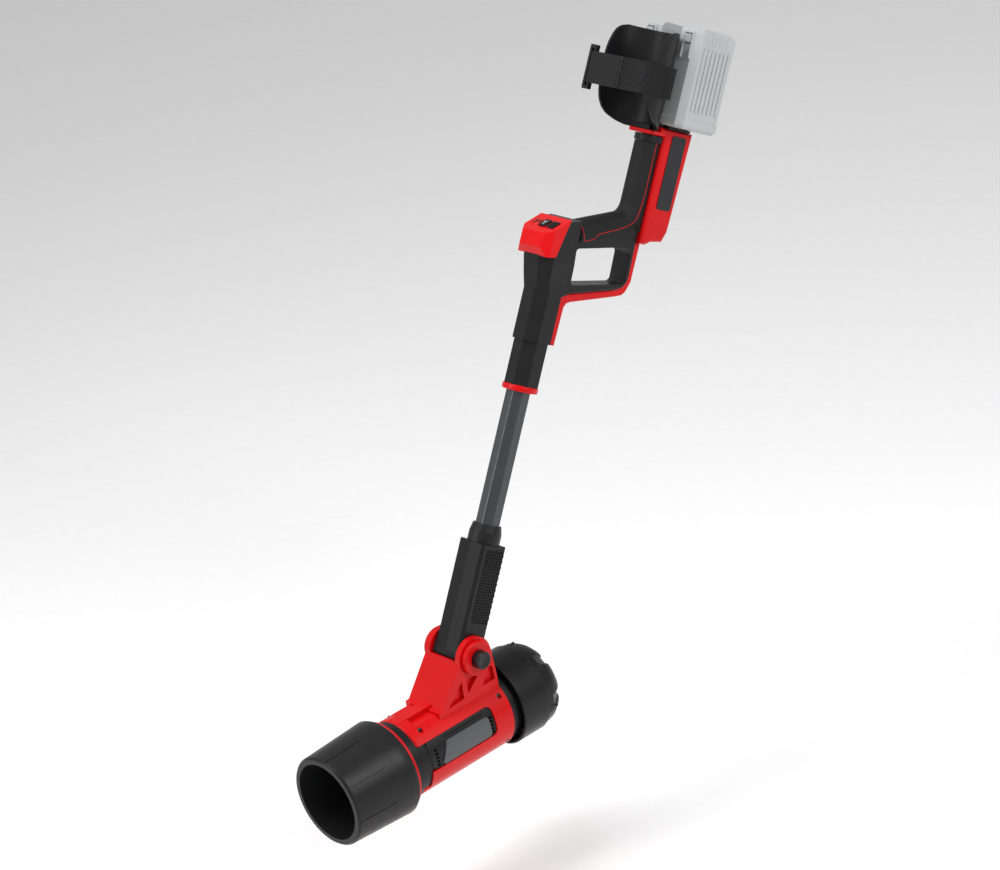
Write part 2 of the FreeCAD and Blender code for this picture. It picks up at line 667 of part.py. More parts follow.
def rotor_parts():
    """Axial impeller on the motor's shaft, held by a nut under a spinner."""
    hub = cut(
        rod("Y", "Size.hub_radius", "Size.rotor_length", (0, "Size.rotor_front", 0)),
        rod("Y", "Size.shaft_radius", "Size.rotor_length", (0, "Size.rotor_front", 0)))
    blades = []
    for step in range(9):
        turn = FreeCAD.Rotation(FreeCAD.Vector(0, 1, 0), step * 40)
        pitch = FreeCAD.Rotation(FreeCAD.Vector(1, 0, 0), 38)
        blade = document.addObject("Part::Box", "Blade")
        bind(blade, "Length", "Size.rotor_radius - Size.hub_radius + 4")
        blade.Width = 26
        blade.Height = 1.8
        start = FreeCAD.Vector(amount("Size.hub_radius") - 3, amount("Size.rotor_front") + 2.5, -8)
        blade.Placement = FreeCAD.Placement(turn.multVec(start), turn.multiply(pitch))
        blades.append(blade)
    swept = rod("Y", "Size.rotor_radius", "Size.rotor_length", (0, "Size.rotor_front", 0))
    ring_of_blades = common(join(*blades), cut(swept, rod("Y", "Size.hub_radius - 1", 100, (0, -60, 0))))
    finish(join(hub, ring_of_blades), "impeller", AXIS_FRAME)
    finish(rod("Y", "Size.shaft_radius", "Size.motor_length + Size.rotor_length + 1",
               (0, "Size.rotor_front - Size.motor_length + 3", 0)), "motor_shaft", AXIS_FRAME)
    nut = cut(rod("Y", 6, 4, (0, "Size.rotor_front + Size.rotor_length", 0)),
              rod("Y", "Size.shaft_radius", 4, (0, "Size.rotor_front + Size.rotor_length", 0)))
    finish(nut, "impeller_nut", AXIS_FRAME)


# ---------------------------------------------------------------- hinge
def hinge_parts():
    """Pin through both ears, bush in the arm, push button and its spring."""
    reach = "Size.ear_gap + Size.ear_thick"
    pin = join(
        rod("X", "Size.pin_radius", "2 * (%s)" % reach, ("-(%s)" % reach, 0, 0)),
        rod("X", 10, 4, ("-(%s) - 4" % reach, 0, 0)))
    finish(pin, "hinge_pin", FAN_FRAME)
    cap = softened(
        rod("X", "Size.button_radius", "Size.boss_height - 1",
            ("-(%s) - Size.boss_height - 3" % reach, 0, 0)),
        1.5, lambda edge: edge.Length > 60)
    finish(cap, "hinge_cap_right", FAN_FRAME)
    bush = cut(
        rod("X", "Size.bush_radius", "Size.arm_width - 1", ("-(Size.arm_width - 1) / 2", 0, 0)),
        rod("X", "Size.pin_radius + Size.pin_clearance", "Size.arm_width", ("-Size.arm_width / 2", 0, 0)))
    finish(bush, "hinge_bush", POLE_FRAME)
    face = "Size.button_face"
    foot = "%s + Size.button_travel + 0.6" % reach
    button = softened(
        rod("X", "Size.button_radius", "%s - (%s)" % (face, foot), (foot, 0, 0)),
        1.5, lambda edge: edge.Length > 60 and edge.CenterOfMass.x > 45)
    hollow = rod("X", 8, "8.5", (foot, 0, 0))
    dish = document.addObject("Part::Sphere", "Dish")
    dish.Radius = 30
    put(dish, ("%s + 28.8" % face, 0, 0))
    finish(cut(button, hollow, dish), "hinge_button", FAN_FRAME)
    spring = cut(rod("X", 7.4, 8, (reach, 0, 0)), rod("X", 6.1, 8, (reach, 0, 0)))
    finish(spring, "button_spring", FAN_FRAME)


# ---------------------------------------------------------------- pole and lower arm
# screws through both halves, driven from the right: back from the pole, height
HANDLE_SCREWS = [(3, 556), (80, 491.5), (139, 640), (150, 580)]
ARM_SCREWS = [(0, 16.5)]


def screw_holes(places):
    """Holes along X for screws driven from the right side."""
    return join(*[rod("X", 2.9, 68, (-60, back, height)) for back, height in places + [places[0]]])


def pole_parts():
    """Octagonal aluminium tube with the cable inside it."""
    length = "Size.pole_head - Size.pole_foot"
    foot = (0, 0, "Size.pole_foot")
    tube = cut(prism("Size.pole_flats", length, foot),
               prism("Size.pole_flats - 2 * Size.pole_wall", length, foot))
    finish(tube, "pole_tube", POLE_FRAME)
    finish(rod("Z", 3, "%s - 8" % length, (0, 0, "Size.pole_foot + 4")), "pole_cable", POLE_FRAME)


def lower_arm():
    """Two half shells with a side slot each, around an inner sleeve that grips the pole."""
    half_width = "Size.arm_width / 2"
    half_depth = "Size.arm_depth / 2"
    section = [
        ("-(%s)" % half_width, "-(%s) + Size.arm_corner" % half_depth),
        ("-(%s) + Size.arm_corner" % half_width, "-(%s)" % half_depth),
        (0, "-(%s) - Size.arm_ridge" % half_depth),
        ("%s - Size.arm_corner" % half_width, "-(%s)" % half_depth),
        (half_width, "-(%s) + Size.arm_corner" % half_depth),
        (half_width, "%s - Size.arm_corner" % half_depth),
        ("%s - Size.arm_corner" % half_width, half_depth),
        ("-(%s) + Size.arm_corner" % half_width, half_depth),
        ("-(%s)" % half_width, "%s - Size.arm_corner" % half_depth),
    ]
    bar = padded("XY_Plane", section, "Size.arm_top", midplane=False)
    end = rod("X", half_depth, "Size.arm_width", ("-(%s)" % half_width, 0, 0))
    bore = rod("Z", "Size.insert_radius", "Size.arm_top", (0, 0, "Size.pole_foot - 6"))
    axle = rod("X", "Size.bush_radius", 80, (-40, 0, 0))
    slot = softened(
        box((-60, "-Size.slot_front", "Size.slot_foot"),
            (120, "Size.slot_front + Size.slot_back", "Size.arm_top - Size.slot_foot + 20")),
        4, along("X"))
    whole = cut(join(bar, end), bore, axle, slot, screw_holes(ARM_SCREWS))
    finish(half(whole, 1), "lower_arm_left", POLE_FRAME)
    finish(half(whole, -1), "lower_arm_right", POLE_FRAME)
    tube = rod("Z", "Size.insert_radius", "Size.arm_top - Size.pole_foot + 6", (0, 0, "Size.pole_foot - 6"))
    cheeks = softened(
        box(("-(%s) + 2" % half_width, "-Size.slot_front + 0.4", "Size.slot_foot + 0.4"),
            ("Size.arm_width - 4", "Size.slot_front + Size.slot_back - 0.8",
             "Size.arm_top - Size.slot_foot - 1")),
        3.5, along("X"))
    collar = join(
        rod("Z", "Size.collar_radius", "Size.collar_shoulder - Size.arm_top", (0, 0, "Size.arm_top")),
        cone("Z", "Size.collar_radius", "Size.collar_tip", "Size.collar_top - Size.collar_shoulder",
             (0, 0, "Size.collar_shoulder")))
    socket = prism("Size.pole_flats", "Size.pole_head", (0, 0, "Size.pole_foot"))
    finish(cut(join(tube, cheeks, collar), socket), "arm_insert", POLE_FRAME)


# ---------------------------------------------------------------- handle
def grip_path():
    """Centre line of the grip: sloping run, elbow, upright run."""
    rise = math.tan(math.radians(amount("Size.grip_rise")))
    middle = FreeCAD.Vector(0, amount("Size.grip_back"), amount("Size.grip_height"))
    post = amount("Size.post_back")
    start = FreeCAD.Vector(0, 12, middle.z + (12 - middle.y) * rise)
    corner = FreeCAD.Vector(0, post, middle.z + (post - middle.y) * rise)
    top = FreeCAD.Vector(0, post, amount("Size.spine_top") - 22)
    bend = 34
    into = (corner - start).normalize()
    out = (top - corner).normalize()
    tangent = bend * math.tan(into.getAngle(out) / 2)
    first = corner - into * tangent
    last = corner + out * tangent
    inward = (out - into).normalize()
    middle_of_bend = corner + inward * (bend / math.cos(into.getAngle(out) / 2) - bend)
    path = Part.Wire([
        Part.LineSegment(start, first).toShape(),
        Part.Arc(first, middle_of_bend, last).toShape(),
        Part.LineSegment(last, top).toShape()])
    return path, start, into


def grip_tube(radius):
    """Solid of the given radius swept along the grip's centre line."""
    path, start, into = grip_path()
    ring = Part.Wire([Part.makeCircle(radius, start, into)])
    return path.makePipeShell([ring], True, True)


SLEEVE_FRONT = "Size.sleeve_back - Size.sleeve_depth / 2"
SLEEVE_REAR = "Size.sleeve_back + Size.sleeve_depth / 2"

HEAD_SIDE = [
    # control head in side view: back from the pole, height
    (-21, 474), (-33, 514), (-32, 545), (-8, 568), (14, 573), (25, 561), (28, 516), (21, 492), (21, 474),
]
CAP_SIDE = [(-4, 571.5), (-38, 548), (-40, 529), (-32, 518.5), (-17, 521), (-7, 562)]
LOOP_OUTER = [
    # black part of the hand guard, outer edge against the red trim
    (20, 470), (38, 478.5), (118, 495), (128, 499), (134, 506), (136, 514),
    (134, 560), (134, 596), (112, 585), (12, 556),
]
LOOP_HOLE = [(33, 489.5), (126, 504), (130, 508), (128.5, 545), (121, 552.5), (29.5, 537), (32, 515)]
TRIM_SIDE = [
    (25, 409), (33, 409), (34.5, 460), (37.5, 465), (44, 468), (119, 485.5), (132, 490),
    (140, 498), (144.5, 509), (145, 575), (134, 575), (134, 560), (136, 514), (134, 506),
    (128, 499), (118, 495), (38, 478.5), (25, 475),
]
SPINE_SIDE = [
    ("Size.seam_back", "Size.spine_foot - 10"), (145, "Size.spine_foot - 10"),
    (154, "Size.spine_foot - 5"), (174, "Size.spine_foot - 2"),
    ("Size.spine_back - 1", "Size.spine_foot + 12"), ("Size.spine_back", "Size.spine_foot + 30"),
    ("Size.spine_back + 4", "Size.spine_top"), (107, "Size.spine_top"),
    (107, "Size.spine_top - 12"), ("Size.seam_back", "Size.spine_top - 12"),
]


def sleeve_section(grow):
    """Octagonal section of the pole sleeve, larger by grow all round."""
    side = "Size.sleeve_width / 2 + %s" % grow
    front = "%s - %s" % (SLEEVE_FRONT, grow)
    rear = "%s + %s" % (SLEEVE_REAR, grow)
    corner = "Size.sleeve_corner"
    return [
        ("-(%s)" % side, "%s + %s" % (front, corner)),
        ("-(%s) + %s" % (side, corner), front),
        ("%s - %s" % (side, corner), front),
        (side, "%s + %s" % (front, corner)),
        (side, "%s - %s" % (rear, corner)),
        ("%s - %s" % (side, corner), rear),
        ("-(%s) + %s" % (side, corner), rear),
        ("-(%s)" % side, "%s - %s" % (rear, corner)),
    ]


def raised(body, height):
    """Lift a padded section to its height along the pole."""
    bind(body, ".Placement.Base.z", height)
    return body


HEAD_SECTIONS = [
    # height, half width, front and rear from the pole, corner chamfer
    (473, 23.5, -22, 27.5, 13.5),
    (492, 24.5, -28, 29.0, 13.5),
    (516, 28.0, -33.5, 29.0, 15.0),
    (575, 28.5, -33.5, 29.0, 14.0),
]


def head_facets():
    """Faceted solid that flares from the sleeve up to the control head."""
    wires = []
    for height, side, front, rear, corner in HEAD_SECTIONS:
        ring = [(side, front + corner), (side, rear - corner), (side - corner, rear), (corner - side, rear),
                (-side, rear - corner), (-side, front + corner), (corner - side, front),
                (side - corner, front)]
        points = [FreeCAD.Vector(across, back, height) for across, back in ring]
        wires.append(Part.makePolygon(points + [points[0]]))
    return Part.makeLoft(wires, True, True)


def handle_shells():
    """Black shells: pole sleeve, control head, grip core and hand guard."""
    sleeve = raised(padded("XY_Plane", sleeve_section(0), "Size.sleeve_step - Size.sleeve_foot + 2",
                           midplane=False), "Size.sleeve_foot")
    jacket = raised(padded("XY_Plane", sleeve_section(2), 80, midplane=False), "Size.sleeve_step")
    head = common(padded("YZ_Plane", HEAD_SIDE, "Size.head_width"), plain(head_facets()))
    guard = rounded(padded("YZ_Plane", LOOP_OUTER, "Size.loop_width"), 3,
                    lambda edge: abs(edge.CenterOfMass.x) > 12 and not along("X")(edge))
    hole = softened(padded("YZ_Plane", LOOP_HOLE, 100), 5, along("X"))
    post_back = box((-16, "Size.post_back", 575),
                    (32, "Size.seam_back - Size.post_back", "Size.spine_top - 587"))
    core = cut(plain(grip_tube(amount("Size.grip_radius - Size.rubber"))),
               box((-60, "Size.seam_back", 500), (120, 80, 300)))
    cap_space = padded("YZ_Plane", CAP_SIDE, 100)
    bore = prism("Size.pole_flats", "Size.pole_head", (0, 0, 0))
    cavity = box((-12, -10, "Size.pole_head + 4"), (24, 30, 38))
    trim = padded("YZ_Plane", TRIM_SIDE, "Size.trim_width")
    whole = cut(join(sleeve, jacket, head, cut(guard, hole), post_back, core),
                bore, cap_space, cavity, trim, screw_holes(HANDLE_SCREWS))
    finish(half(whole, 1), "handle_shell_left", POLE_FRAME)
    finish(half(whole, -1), "handle_shell_right", POLE_FRAME)


def spine_shells():
    """Red shells: spine behind the grip, and the red edge round the hand guard."""
    upper = rounded(padded("YZ_Plane", SPINE_SIDE, "Size.spine_width"), 5,
                    lambda edge: abs(edge.CenterOfMass.x) > 20 and not along("X")(edge))
    trim = rounded(padded("YZ_Plane", TRIM_SIDE, "Size.trim_width"), 2.5,
                   lambda edge: abs(edge.CenterOfMass.x) > 11 and not along("X")(edge)
                   and (edge.CenterOfMass.y > 139 or edge.CenterOfMass.z < 483)
                   and edge.CenterOfMass.y > 29)
    cavity = box((-15, 144, 590), (30, 33, 108))
    vent_seat = box((-12, "Size.spine_back - 1.5", 612), (24, 20, 92))
    cuff_seat = box((-40, 100, "Size.cuff_foot"), (80, 24, 20))
    whole = cut(join(upper, trim), cavity, vent_seat, cuff_seat, screw_holes(HANDLE_SCREWS))
    finish(half(whole, 1), "spine_shell_left", POLE_FRAME)
    finish(half(whole, -1), "spine_shell_right", POLE_FRAME)


def grip_parts():
    """Rubber over the grip's core, and the collar above it."""
    outer = plain(grip_tube(amount("Size.grip_radius")))
    inner = plain(grip_tube(amount("Size.grip_radius - Size.rubber")))
    behind_head = box((-60, -60, 470), (120, 91, 200))
    under = padded("YZ_Plane", LOOP_OUTER, "Size.loop_width")
    back = box((-16, "Size.post_back", 560), (32, 80, 200))
    rear = box((-60, "Size.post_back + 1", 560), (120, 80, 200))
    finish(cut(outer, inner, behind_head, under, back, rear), "grip_rubber", POLE_FRAME)
    collar = cut(
        rod("Z", "Size.post_radius + 0.6", 9, (0, "Size.post_back", "Size.spine_top - 21.6")),
        box((-60, "Size.seam_back", 600), (120, 80, 200)),
        box((-16, "Size.post_back", 600), (32, 80, 200)))
    finish(collar, "grip_collar", POLE_FRAME)
    ring = softened(cut(
        rod("Z", 23.4, 8, (0, 1.5, "Size.sleeve_foot - 8")),
        prism("Size.pole_flats", "Size.pole_head", (0, 0, 0))), 2, lambda edge: edge.Length > 140)
    finish(ring, "sleeve_ring", POLE_FRAME)


# keys on the red cap: name, middle, width, depth, height over the face, depth under it
KEYS = [
    ("indicator_window", -15, 13, 13, 0.3, 6),
    ("speed_rocker", 0, 11, 15, 2.2, 3.5),
    ("power_button", 15, 12, 15, 1.6, 3.5),
]


def on_cap(size, corner):
    """Block of a plain size placed in the sloping face of the red cap."""
    slope = math.degrees(math.atan2(571.5 - 548, 38 - 4))
    face = FreeCAD.Placement(
        FreeCAD.Vector(0, -21, 559.75), FreeCAD.Rotation(FreeCAD.Vector(1, 0, 0), slope))
    block = document.addObject("Part::Box", "OnCap")
    block.Length, block.Width, block.Height = size
    block.Placement = face.multiply(FreeCAD.Placement(FreeCAD.Vector(*corner), FreeCAD.Rotation()))
    return block


def control_parts():
    """Red cap with an indicator window, a speed rocker and a power button."""
    cap = padded("YZ_Plane", CAP_SIDE, "Size.head_width")
    corners = []
    for side in (1, -1):
        wedge = padded("XY_Plane", [(side * 30, -42), (side * 30, -28), (side * 17, -42)], 120,
                       midplane=False)
        corners.append(raised(wedge, 480))
    gap = amount("Size.slide_gap")
    wells = []
    for name, middle, width, depth, proud, sunk in KEYS:
        wells.append(on_cap((width + 2 * gap, depth + 2 * gap, 12),
                            (middle - width / 2 - gap, -depth / 2 - gap, -6)))
    finish(cut(cap, *corners, join(*wells)), "control_cap", POLE_FRAME)
    for name, middle, width, depth, proud, sunk in KEYS:
        key = on_cap((width, depth, proud + sunk), (middle - width / 2, -depth / 2, -sunk))
        finish(softened(key, 0.6, lambda edge: edge.Length > 9), name, POLE_FRAME)


def spine_details():
    """Blank plates, rear vent ribs, control board and the cable in the grip."""
    for side, name in ((1, "left"), (-1, "right")):
        start = "Size.spine_width / 2" if side > 0 else "-Size.spine_width / 2 - 1"
        plate = softened(box((start, 147, 609), (1, 26, 97)), 4, along("X"))
        finish(plate, "name_plate_" + name, POLE_FRAME)
    rib_places = [box((-11, "Size.spine_back + 1", 616 + 12 * step), (22, 6.5, 8)) for step in range(7)]
    seat = box((-12, "Size.spine_back - 1.5", 612), (24, 5.5, 92))
    finish(join(seat, *rib_places), "spine_vent", POLE_FRAME)
    finish(box((-1, 146, 594), (1.6, 29, 100)), "control_board", POLE_FRAME)


# ---------------------------------------------------------------- cuff, strap, packs
CUFF_SIDE = [
    # the trough's outline in side view: back from the pole, height
    (64, 742), (59, 778), (61, 804), (70, 826), (84, 833),
    (122, 833), (122, 706), (104, 706), (80, 717), (68, 730),
]


def cuff_parts():
    """Forearm cuff, its strap and buckle, and the screws that hold it."""
    span = "Size.cuff_top - Size.cuff_foot"
    start = (0, "Size.cuff_back", "Size.cuff_foot")
    round_shell = cut(rod("Z", "Size.cuff_radius", span, start),
                      rod("Z", "Size.cuff_radius - Size.cuff_wall", span, start))
    wings = [box((place, 50, "Size.cuff_foot"), ("Size.cuff_wall", 22, span))
             for place in ("-Size.cuff_radius", "Size.cuff_radius - Size.cuff_wall")]
    front = box((-60, 0, 700), (120, "Size.cuff_back", 160))
    side = rounded(padded("YZ_Plane", CUFF_SIDE, 120), 5, along("X"))
    foot = box((-14, 109, "Size.cuff_foot"), (28, 15, 7))
    boss = box((-15, "Size.cuff_back + Size.cuff_radius - 3", 722), (30, 6, 100))
    cuff = join(common(join(cut(round_shell, front), *wings), side), foot, boss)
    trim = rod("Z", "Size.cuff_radius - Size.cuff_wall", span, start)
    finish(cut(cuff, trim), "forearm_cuff", POLE_FRAME)
    finish(strap_solid(), "cuff_strap", POLE_FRAME)
    frame = cut(
        box((-60, 32.5, "Size.strap_foot - 6"), (10, 6, "Size.strap_top - Size.strap_foot + 12")),
        box((-57.5, 20, "Size.strap_foot - 1"), (5, 60, "Size.strap_top - Size.strap_foot + 2")))
    finish(frame, "strap_buckle", POLE_FRAME)


# the strap ahead of the wing, seen from above: lateral, back from the pole
STRAP_PATH = [(47.9, 57), (45, 50), (38, 45), (26, 42.5), (6, 42), (-56, 42)]


def strap_solid():
    """Strap from the left wing's outside, across the open front, back along the right."""
    near = amount("Size.cuff_radius") + 0.3
    centre = amount("Size.cuff_back")
    foot = amount("Size.strap_foot")

    def on_wing(angle):
        return FreeCAD.Vector(near * math.cos(angle), centre + near * math.sin(angle), foot)
    points = [on_wing(0.42), on_wing(0)] + [
        FreeCAD.Vector(across, back, foot) for across, back in STRAP_PATH]
    edges = [Part.Arc(points[0], on_wing(0.2), points[1]).toShape()]
    for start, end in zip(points[1:], points[2:]):
        edges.append(Part.LineSegment(start, end).toShape())
    line = Part.Wire(edges)
    thick = amount("Size.strap_thick")
    band = line.makeOffset2D(-thick, 0, True, True)
    return plain(band.extrude(FreeCAD.Vector(0, 0, amount("Size.strap_top - Size.strap_foot"))))


def battery_parts():
    """Dock between the packs, terminals, and two packs with cells and a latch each."""
    back = "Size.pack_back - 22"
    dock = box(("-Size.dock_half", "Size.pack_front + 1.5", "Size.spine_top"),
               ("2 * Size.dock_half", "%s - Size.pack_front" % back, 116))
    rails = []
    for start in ("Size.dock_half", "-Size.dock_half - 1.6"):
        for place in (138, 162):
            rails.append(box((start, place, "Size.spine_top + 10"), (1.6, 6, 98)))
    shoulder = box(("-Size.spine_width / 2", 136, "Size.spine_top"), ("Size.spine_width", 42, 3.5))
    hollow = box((-12.5, "Size.pack_front + 4.5", "Size.spine_top + 6"), (25, 45, 106))
    finish(cut(join(dock, shoulder, *rails), hollow), "battery_dock", POLE_FRAME)
    for side, name in ((1, "left"), (-1, "right")):
        start = 17.6 if side > 0 else -21.6
        blades = [box((start, 142 + 7 * step, "Size.spine_top + 3.5"), (4, 2, 1.8)) for step in range(4)]
        finish(join(*blades), "dock_terminals_" + name, POLE_FRAME)
        pack_parts(side, name)


def pack_parts(side, name):
    """One battery pack: hollow ribbed case, cells and a latch button on its front."""
    width = "Size.pack_outer - Size.pack_inner"
    low = "Size.pack_inner" if side > 0 else "-Size.pack_outer"
    body = box((low, "Size.pack_front", "Size.pack_foot"),
               (width, "Size.pack_back - Size.pack_front", "Size.pack_top - Size.pack_foot"))
    outside = amount("Size.pack_outer") * side

    def outer_edges(edge):
        place = edge.CenterOfMass
        near_face = abs(place.x - outside) < 0.1
        upright = along("Z")(edge)
        return near_face or (upright and abs(place.x) > 20)
    case = softened(body, "Size.pack_corner", outer_edges)
    inside = box(("%s + 3" % low, "Size.pack_front + 3", "Size.pack_foot + 3"),
                 ("%s - 6" % width, "Size.pack_back - Size.pack_front - 6",
                  "Size.pack_top - Size.pack_foot - 6"))
    inside = softened(inside, 6, lambda edge: abs(edge.CenterOfMass.x - outside + 3 * side) < 0.1)
    ribs = []
    for step in range(6):
        ribs.append(box(("Size.pack_outer - 1.2" if side > 0 else "-Size.pack_outer", 136 + 8 * step, 740),
                        (1.2, 4, 90)))
    well_start = 29 if side > 0 else -40
    well = box((well_start, "Size.pack_front", 826), (11, 2.6, 12))
    finish(cut(case, inside, join(*ribs), well), "battery_%s_case" % name, POLE_FRAME)
    cells = []
    for column in range(3):
        cells.append(rod("Z", 9.2, 100, (side * 34.2, 136 + 22 * column, "Size.pack_foot + 8")))
    finish(join(*cells), "battery_%s_cells" % name, POLE_FRAME)
    latch = box((well_start + 0.4, "Size.pack_front - 2.5", 826.4), (10.2, 3.3, 11.2))
    finish(softened(latch, 1, lambda edge: edge.CenterOfMass.y < 119),
           "battery_%s_latch" % name, POLE_FRAME)


def handle_screws():
    """Screws that hold the handle, spine and arm halves, one solid each."""
    screws = [rod("X", 2.9, 19, (-11, back, height)) for back, height in HANDLE_SCREWS + ARM_SCREWS]
    finish(join(*screws), "handle_screws", POLE_FRAME)


# ---------------------------------------------------------------- build and write
for build in (nozzle, duct_tube, seal_ring, fan_shells, fan_screws, side_panels, intake_ring,
              intake_guard, motor_parts, rotor_parts, hinge_parts, pole_parts, lower_arm,
              handle_shells, spine_shells, grip_parts, control_parts, spine_details,
              cuff_parts, battery_parts, handle_screws):
    build()
document.recompute()

for feature in document.Objects:
    if "Invalid" in feature.State or "Error" in feature.State:
        raise RuntimeError("%s failed: %s" % (feature.Label, feature.State))
os.makedirs("parts", exist_ok=True)
for feature in parts:
    shape = feature.Shape
    if shape.isNull() or not shape.isValid() or not shape.Solids:
        raise RuntimeError("%s has no valid solid" % feature.Label)
    shape.exportStep("parts/%s.step" % feature.Label)
print("%d sub-parts written" % len(parts))
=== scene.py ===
import json
import math

import bmesh
import bpy
from mathutils import Matrix, Vector


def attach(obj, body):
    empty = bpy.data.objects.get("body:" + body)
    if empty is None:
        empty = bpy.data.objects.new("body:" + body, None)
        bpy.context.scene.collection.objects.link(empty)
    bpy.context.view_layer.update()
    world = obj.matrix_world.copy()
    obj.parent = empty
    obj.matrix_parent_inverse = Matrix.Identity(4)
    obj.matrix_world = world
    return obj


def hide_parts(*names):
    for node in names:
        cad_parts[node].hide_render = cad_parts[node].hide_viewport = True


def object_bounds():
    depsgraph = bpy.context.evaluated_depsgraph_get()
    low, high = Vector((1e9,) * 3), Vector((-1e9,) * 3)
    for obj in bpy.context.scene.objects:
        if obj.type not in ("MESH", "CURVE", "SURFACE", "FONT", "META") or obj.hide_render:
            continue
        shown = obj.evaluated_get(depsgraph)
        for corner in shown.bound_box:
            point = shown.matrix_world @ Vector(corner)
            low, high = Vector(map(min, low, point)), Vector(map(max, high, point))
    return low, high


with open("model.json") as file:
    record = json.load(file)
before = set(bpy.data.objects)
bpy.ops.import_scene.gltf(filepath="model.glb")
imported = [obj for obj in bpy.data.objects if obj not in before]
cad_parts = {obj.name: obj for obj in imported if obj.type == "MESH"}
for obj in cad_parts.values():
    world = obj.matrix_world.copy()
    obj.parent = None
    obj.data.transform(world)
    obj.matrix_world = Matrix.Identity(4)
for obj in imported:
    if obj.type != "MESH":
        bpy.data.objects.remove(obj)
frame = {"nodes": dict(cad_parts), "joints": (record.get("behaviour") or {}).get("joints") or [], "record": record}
cad_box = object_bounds()
nodes = frame["nodes"]

# Cordless axial leaf blower on a long pole, in metres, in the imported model's row frame:
# +X is the operator's left, -Y forward, +Z up, with the origin in the hand grip.
# Two helper frames share the tilt hinge as their origin: the pole frame (x lateral, s back
# from the pole, w up along it) and the fan frame (x lateral, y back along the fan, z up).
MM = 0.001
LEAN = math.radians(30)
JOINTS = {joint["name"]: joint for joint in frame["joints"]}
HINGE = Vector(JOINTS["fan_tilt"]["pos_m"])
FAN_AXIS = Vector(JOINTS["impeller_spin"]["pos_m"])
POLE = Matrix.Translation(HINGE) @ Matrix.Rotation(-LEAN, 4, "X") @ Matrix.Scale(MM, 4)
FAN = Matrix.Translation(FAN_AXIS) @ Matrix.Scale(MM, 4)


# ---------------------------------------------------------------- camera, floor and light
def camera():
    """The camera that looks at the tool from its left front, a little above it."""
    data = bpy.data.cameras.new("camera")
    data.lens = 126
    data.sensor_width = 36
    eye = bpy.data.objects.new("camera", data)
    bpy.context.scene.collection.objects.link(eye)
    back = Vector((0.70849, -0.56876, 0.41780))
    up = Vector((-0.21319, 0.39187, 0.89498))
    right = up.cross(back).normalized()
    up = back.cross(right)
    turn = Matrix((right, up, back)).transposed().to_4x4()
    eye.matrix_world = Matrix.Translation((3.16544, -2.74942, 1.66245)) @ turn
    data.clip_end = 60
    bpy.context.scene.camera = eye


def studio():
    """Pale floor, even surroundings and three large soft lamps."""
    # the tool hangs over the floor, so that the nozzle clears it when the fan tilts down
    level = cad_box[0].z - 0.165
    mesh = bpy.data.meshes.new("floor")
    size = 14
    mesh.from_pydata(
        [(-size, -size, level), (size, -size, level), (size, size, level), (-size, size, level)],
        [], [(0, 1, 2, 3)])
    floor = bpy.data.objects.new("floor", mesh)
    bpy.context.scene.collection.objects.link(floor)
    floor.data.materials.append(plain_floor())
    world = bpy.data.worlds.new("studio")
    world.use_nodes = True
    surroundings = world.node_tree.nodes["Background"]
    surroundings.inputs["Color"].default_value = (1, 1, 1, 1)
    surroundings.inputs["Strength"].default_value = 0.5
    bpy.context.scene.world = world
    bpy.context.scene.view_settings.view_transform = "Standard"
    middle = (cad_box[0] + cad_box[1]) / 2
    for name, place, width, depth, power in (
            ("key", (2.1, 0.5, 1.5), 0.6, 1.6, 34),
            ("top", (-0.4, -0.7, 2.3), 0.7, 1.6, 34),
            ("front", (-0.9, -2.2, 0.9), 0.5, 1.4, 18)):
        lamp = bpy.data.lights.new(name, "AREA")
        lamp.shape = "RECTANGLE"
        lamp.size = width
        lamp.size_y = depth
        lamp.energy = power
        holder = bpy.data.objects.new(name, lamp)
        bpy.context.scene.collection.objects.link(holder)
        holder.location = middle + Vector(place)
        holder.rotation_mode = "QUATERNION"
        holder.rotation_quaternion = (-Vector(place)).to_track_quat("-Z", "Y")


# ---------------------------------------------------------------- materials
def shader(name, colour, roughness):
    """New node material; returns it with its tree and its principled shader."""
    material = bpy.data.materials.new(name)
    material.use_nodes = True
    tree = material.node_tree
    body = tree.nodes["Principled BSDF"]
    body.inputs["Base Color"].default_value = (*colour, 1)
    body.inputs["Roughness"].default_value = roughness
    body.inputs["Specular IOR Level"].default_value = 0.22
    return material, tree, body


def place_of(tree, scale=(1, 1, 1), turn=(0, 0, 0)):
    """Object coordinates in metres, scaled, for textures that ride with the piece."""
    source = tree.nodes.new("ShaderNodeTexCoord")
    mapping = tree.nodes.new("ShaderNodeMapping")
    mapping.inputs["Scale"].default_value = scale
    mapping.inputs["Rotation"].default_value = turn
    tree.links.new(source.outputs["Object"], mapping.inputs["Vector"])
    return mapping.outputs["Vector"]


def noise(tree, place, scale, detail=3, rough=0.6):
    """Noise texture's value."""
    made = tree.nodes.new("ShaderNodeTexNoise")
    made.inputs["Scale"].default_value = scale
    made.inputs["Detail"].default_value = detail
    made.inputs["Roughness"].default_value = rough
    tree.links.new(place, made.inputs["Vector"])
    return made.outputs["Fac"]


def spread(tree, value, low, high, start=0.3, end=0.7):
    """Map a value's middle stretch onto low..high."""
    made = tree.nodes.new("ShaderNodeMapRange")
    made.inputs["From Min"].default_value = start
    made.inputs["From Max"].default_value = end
    made.inputs["To Min"].default_value = low
    made.inputs["To Max"].default_value = high
    tree.links.new(value, made.inputs["Value"])
    return made.outputs["Result"]


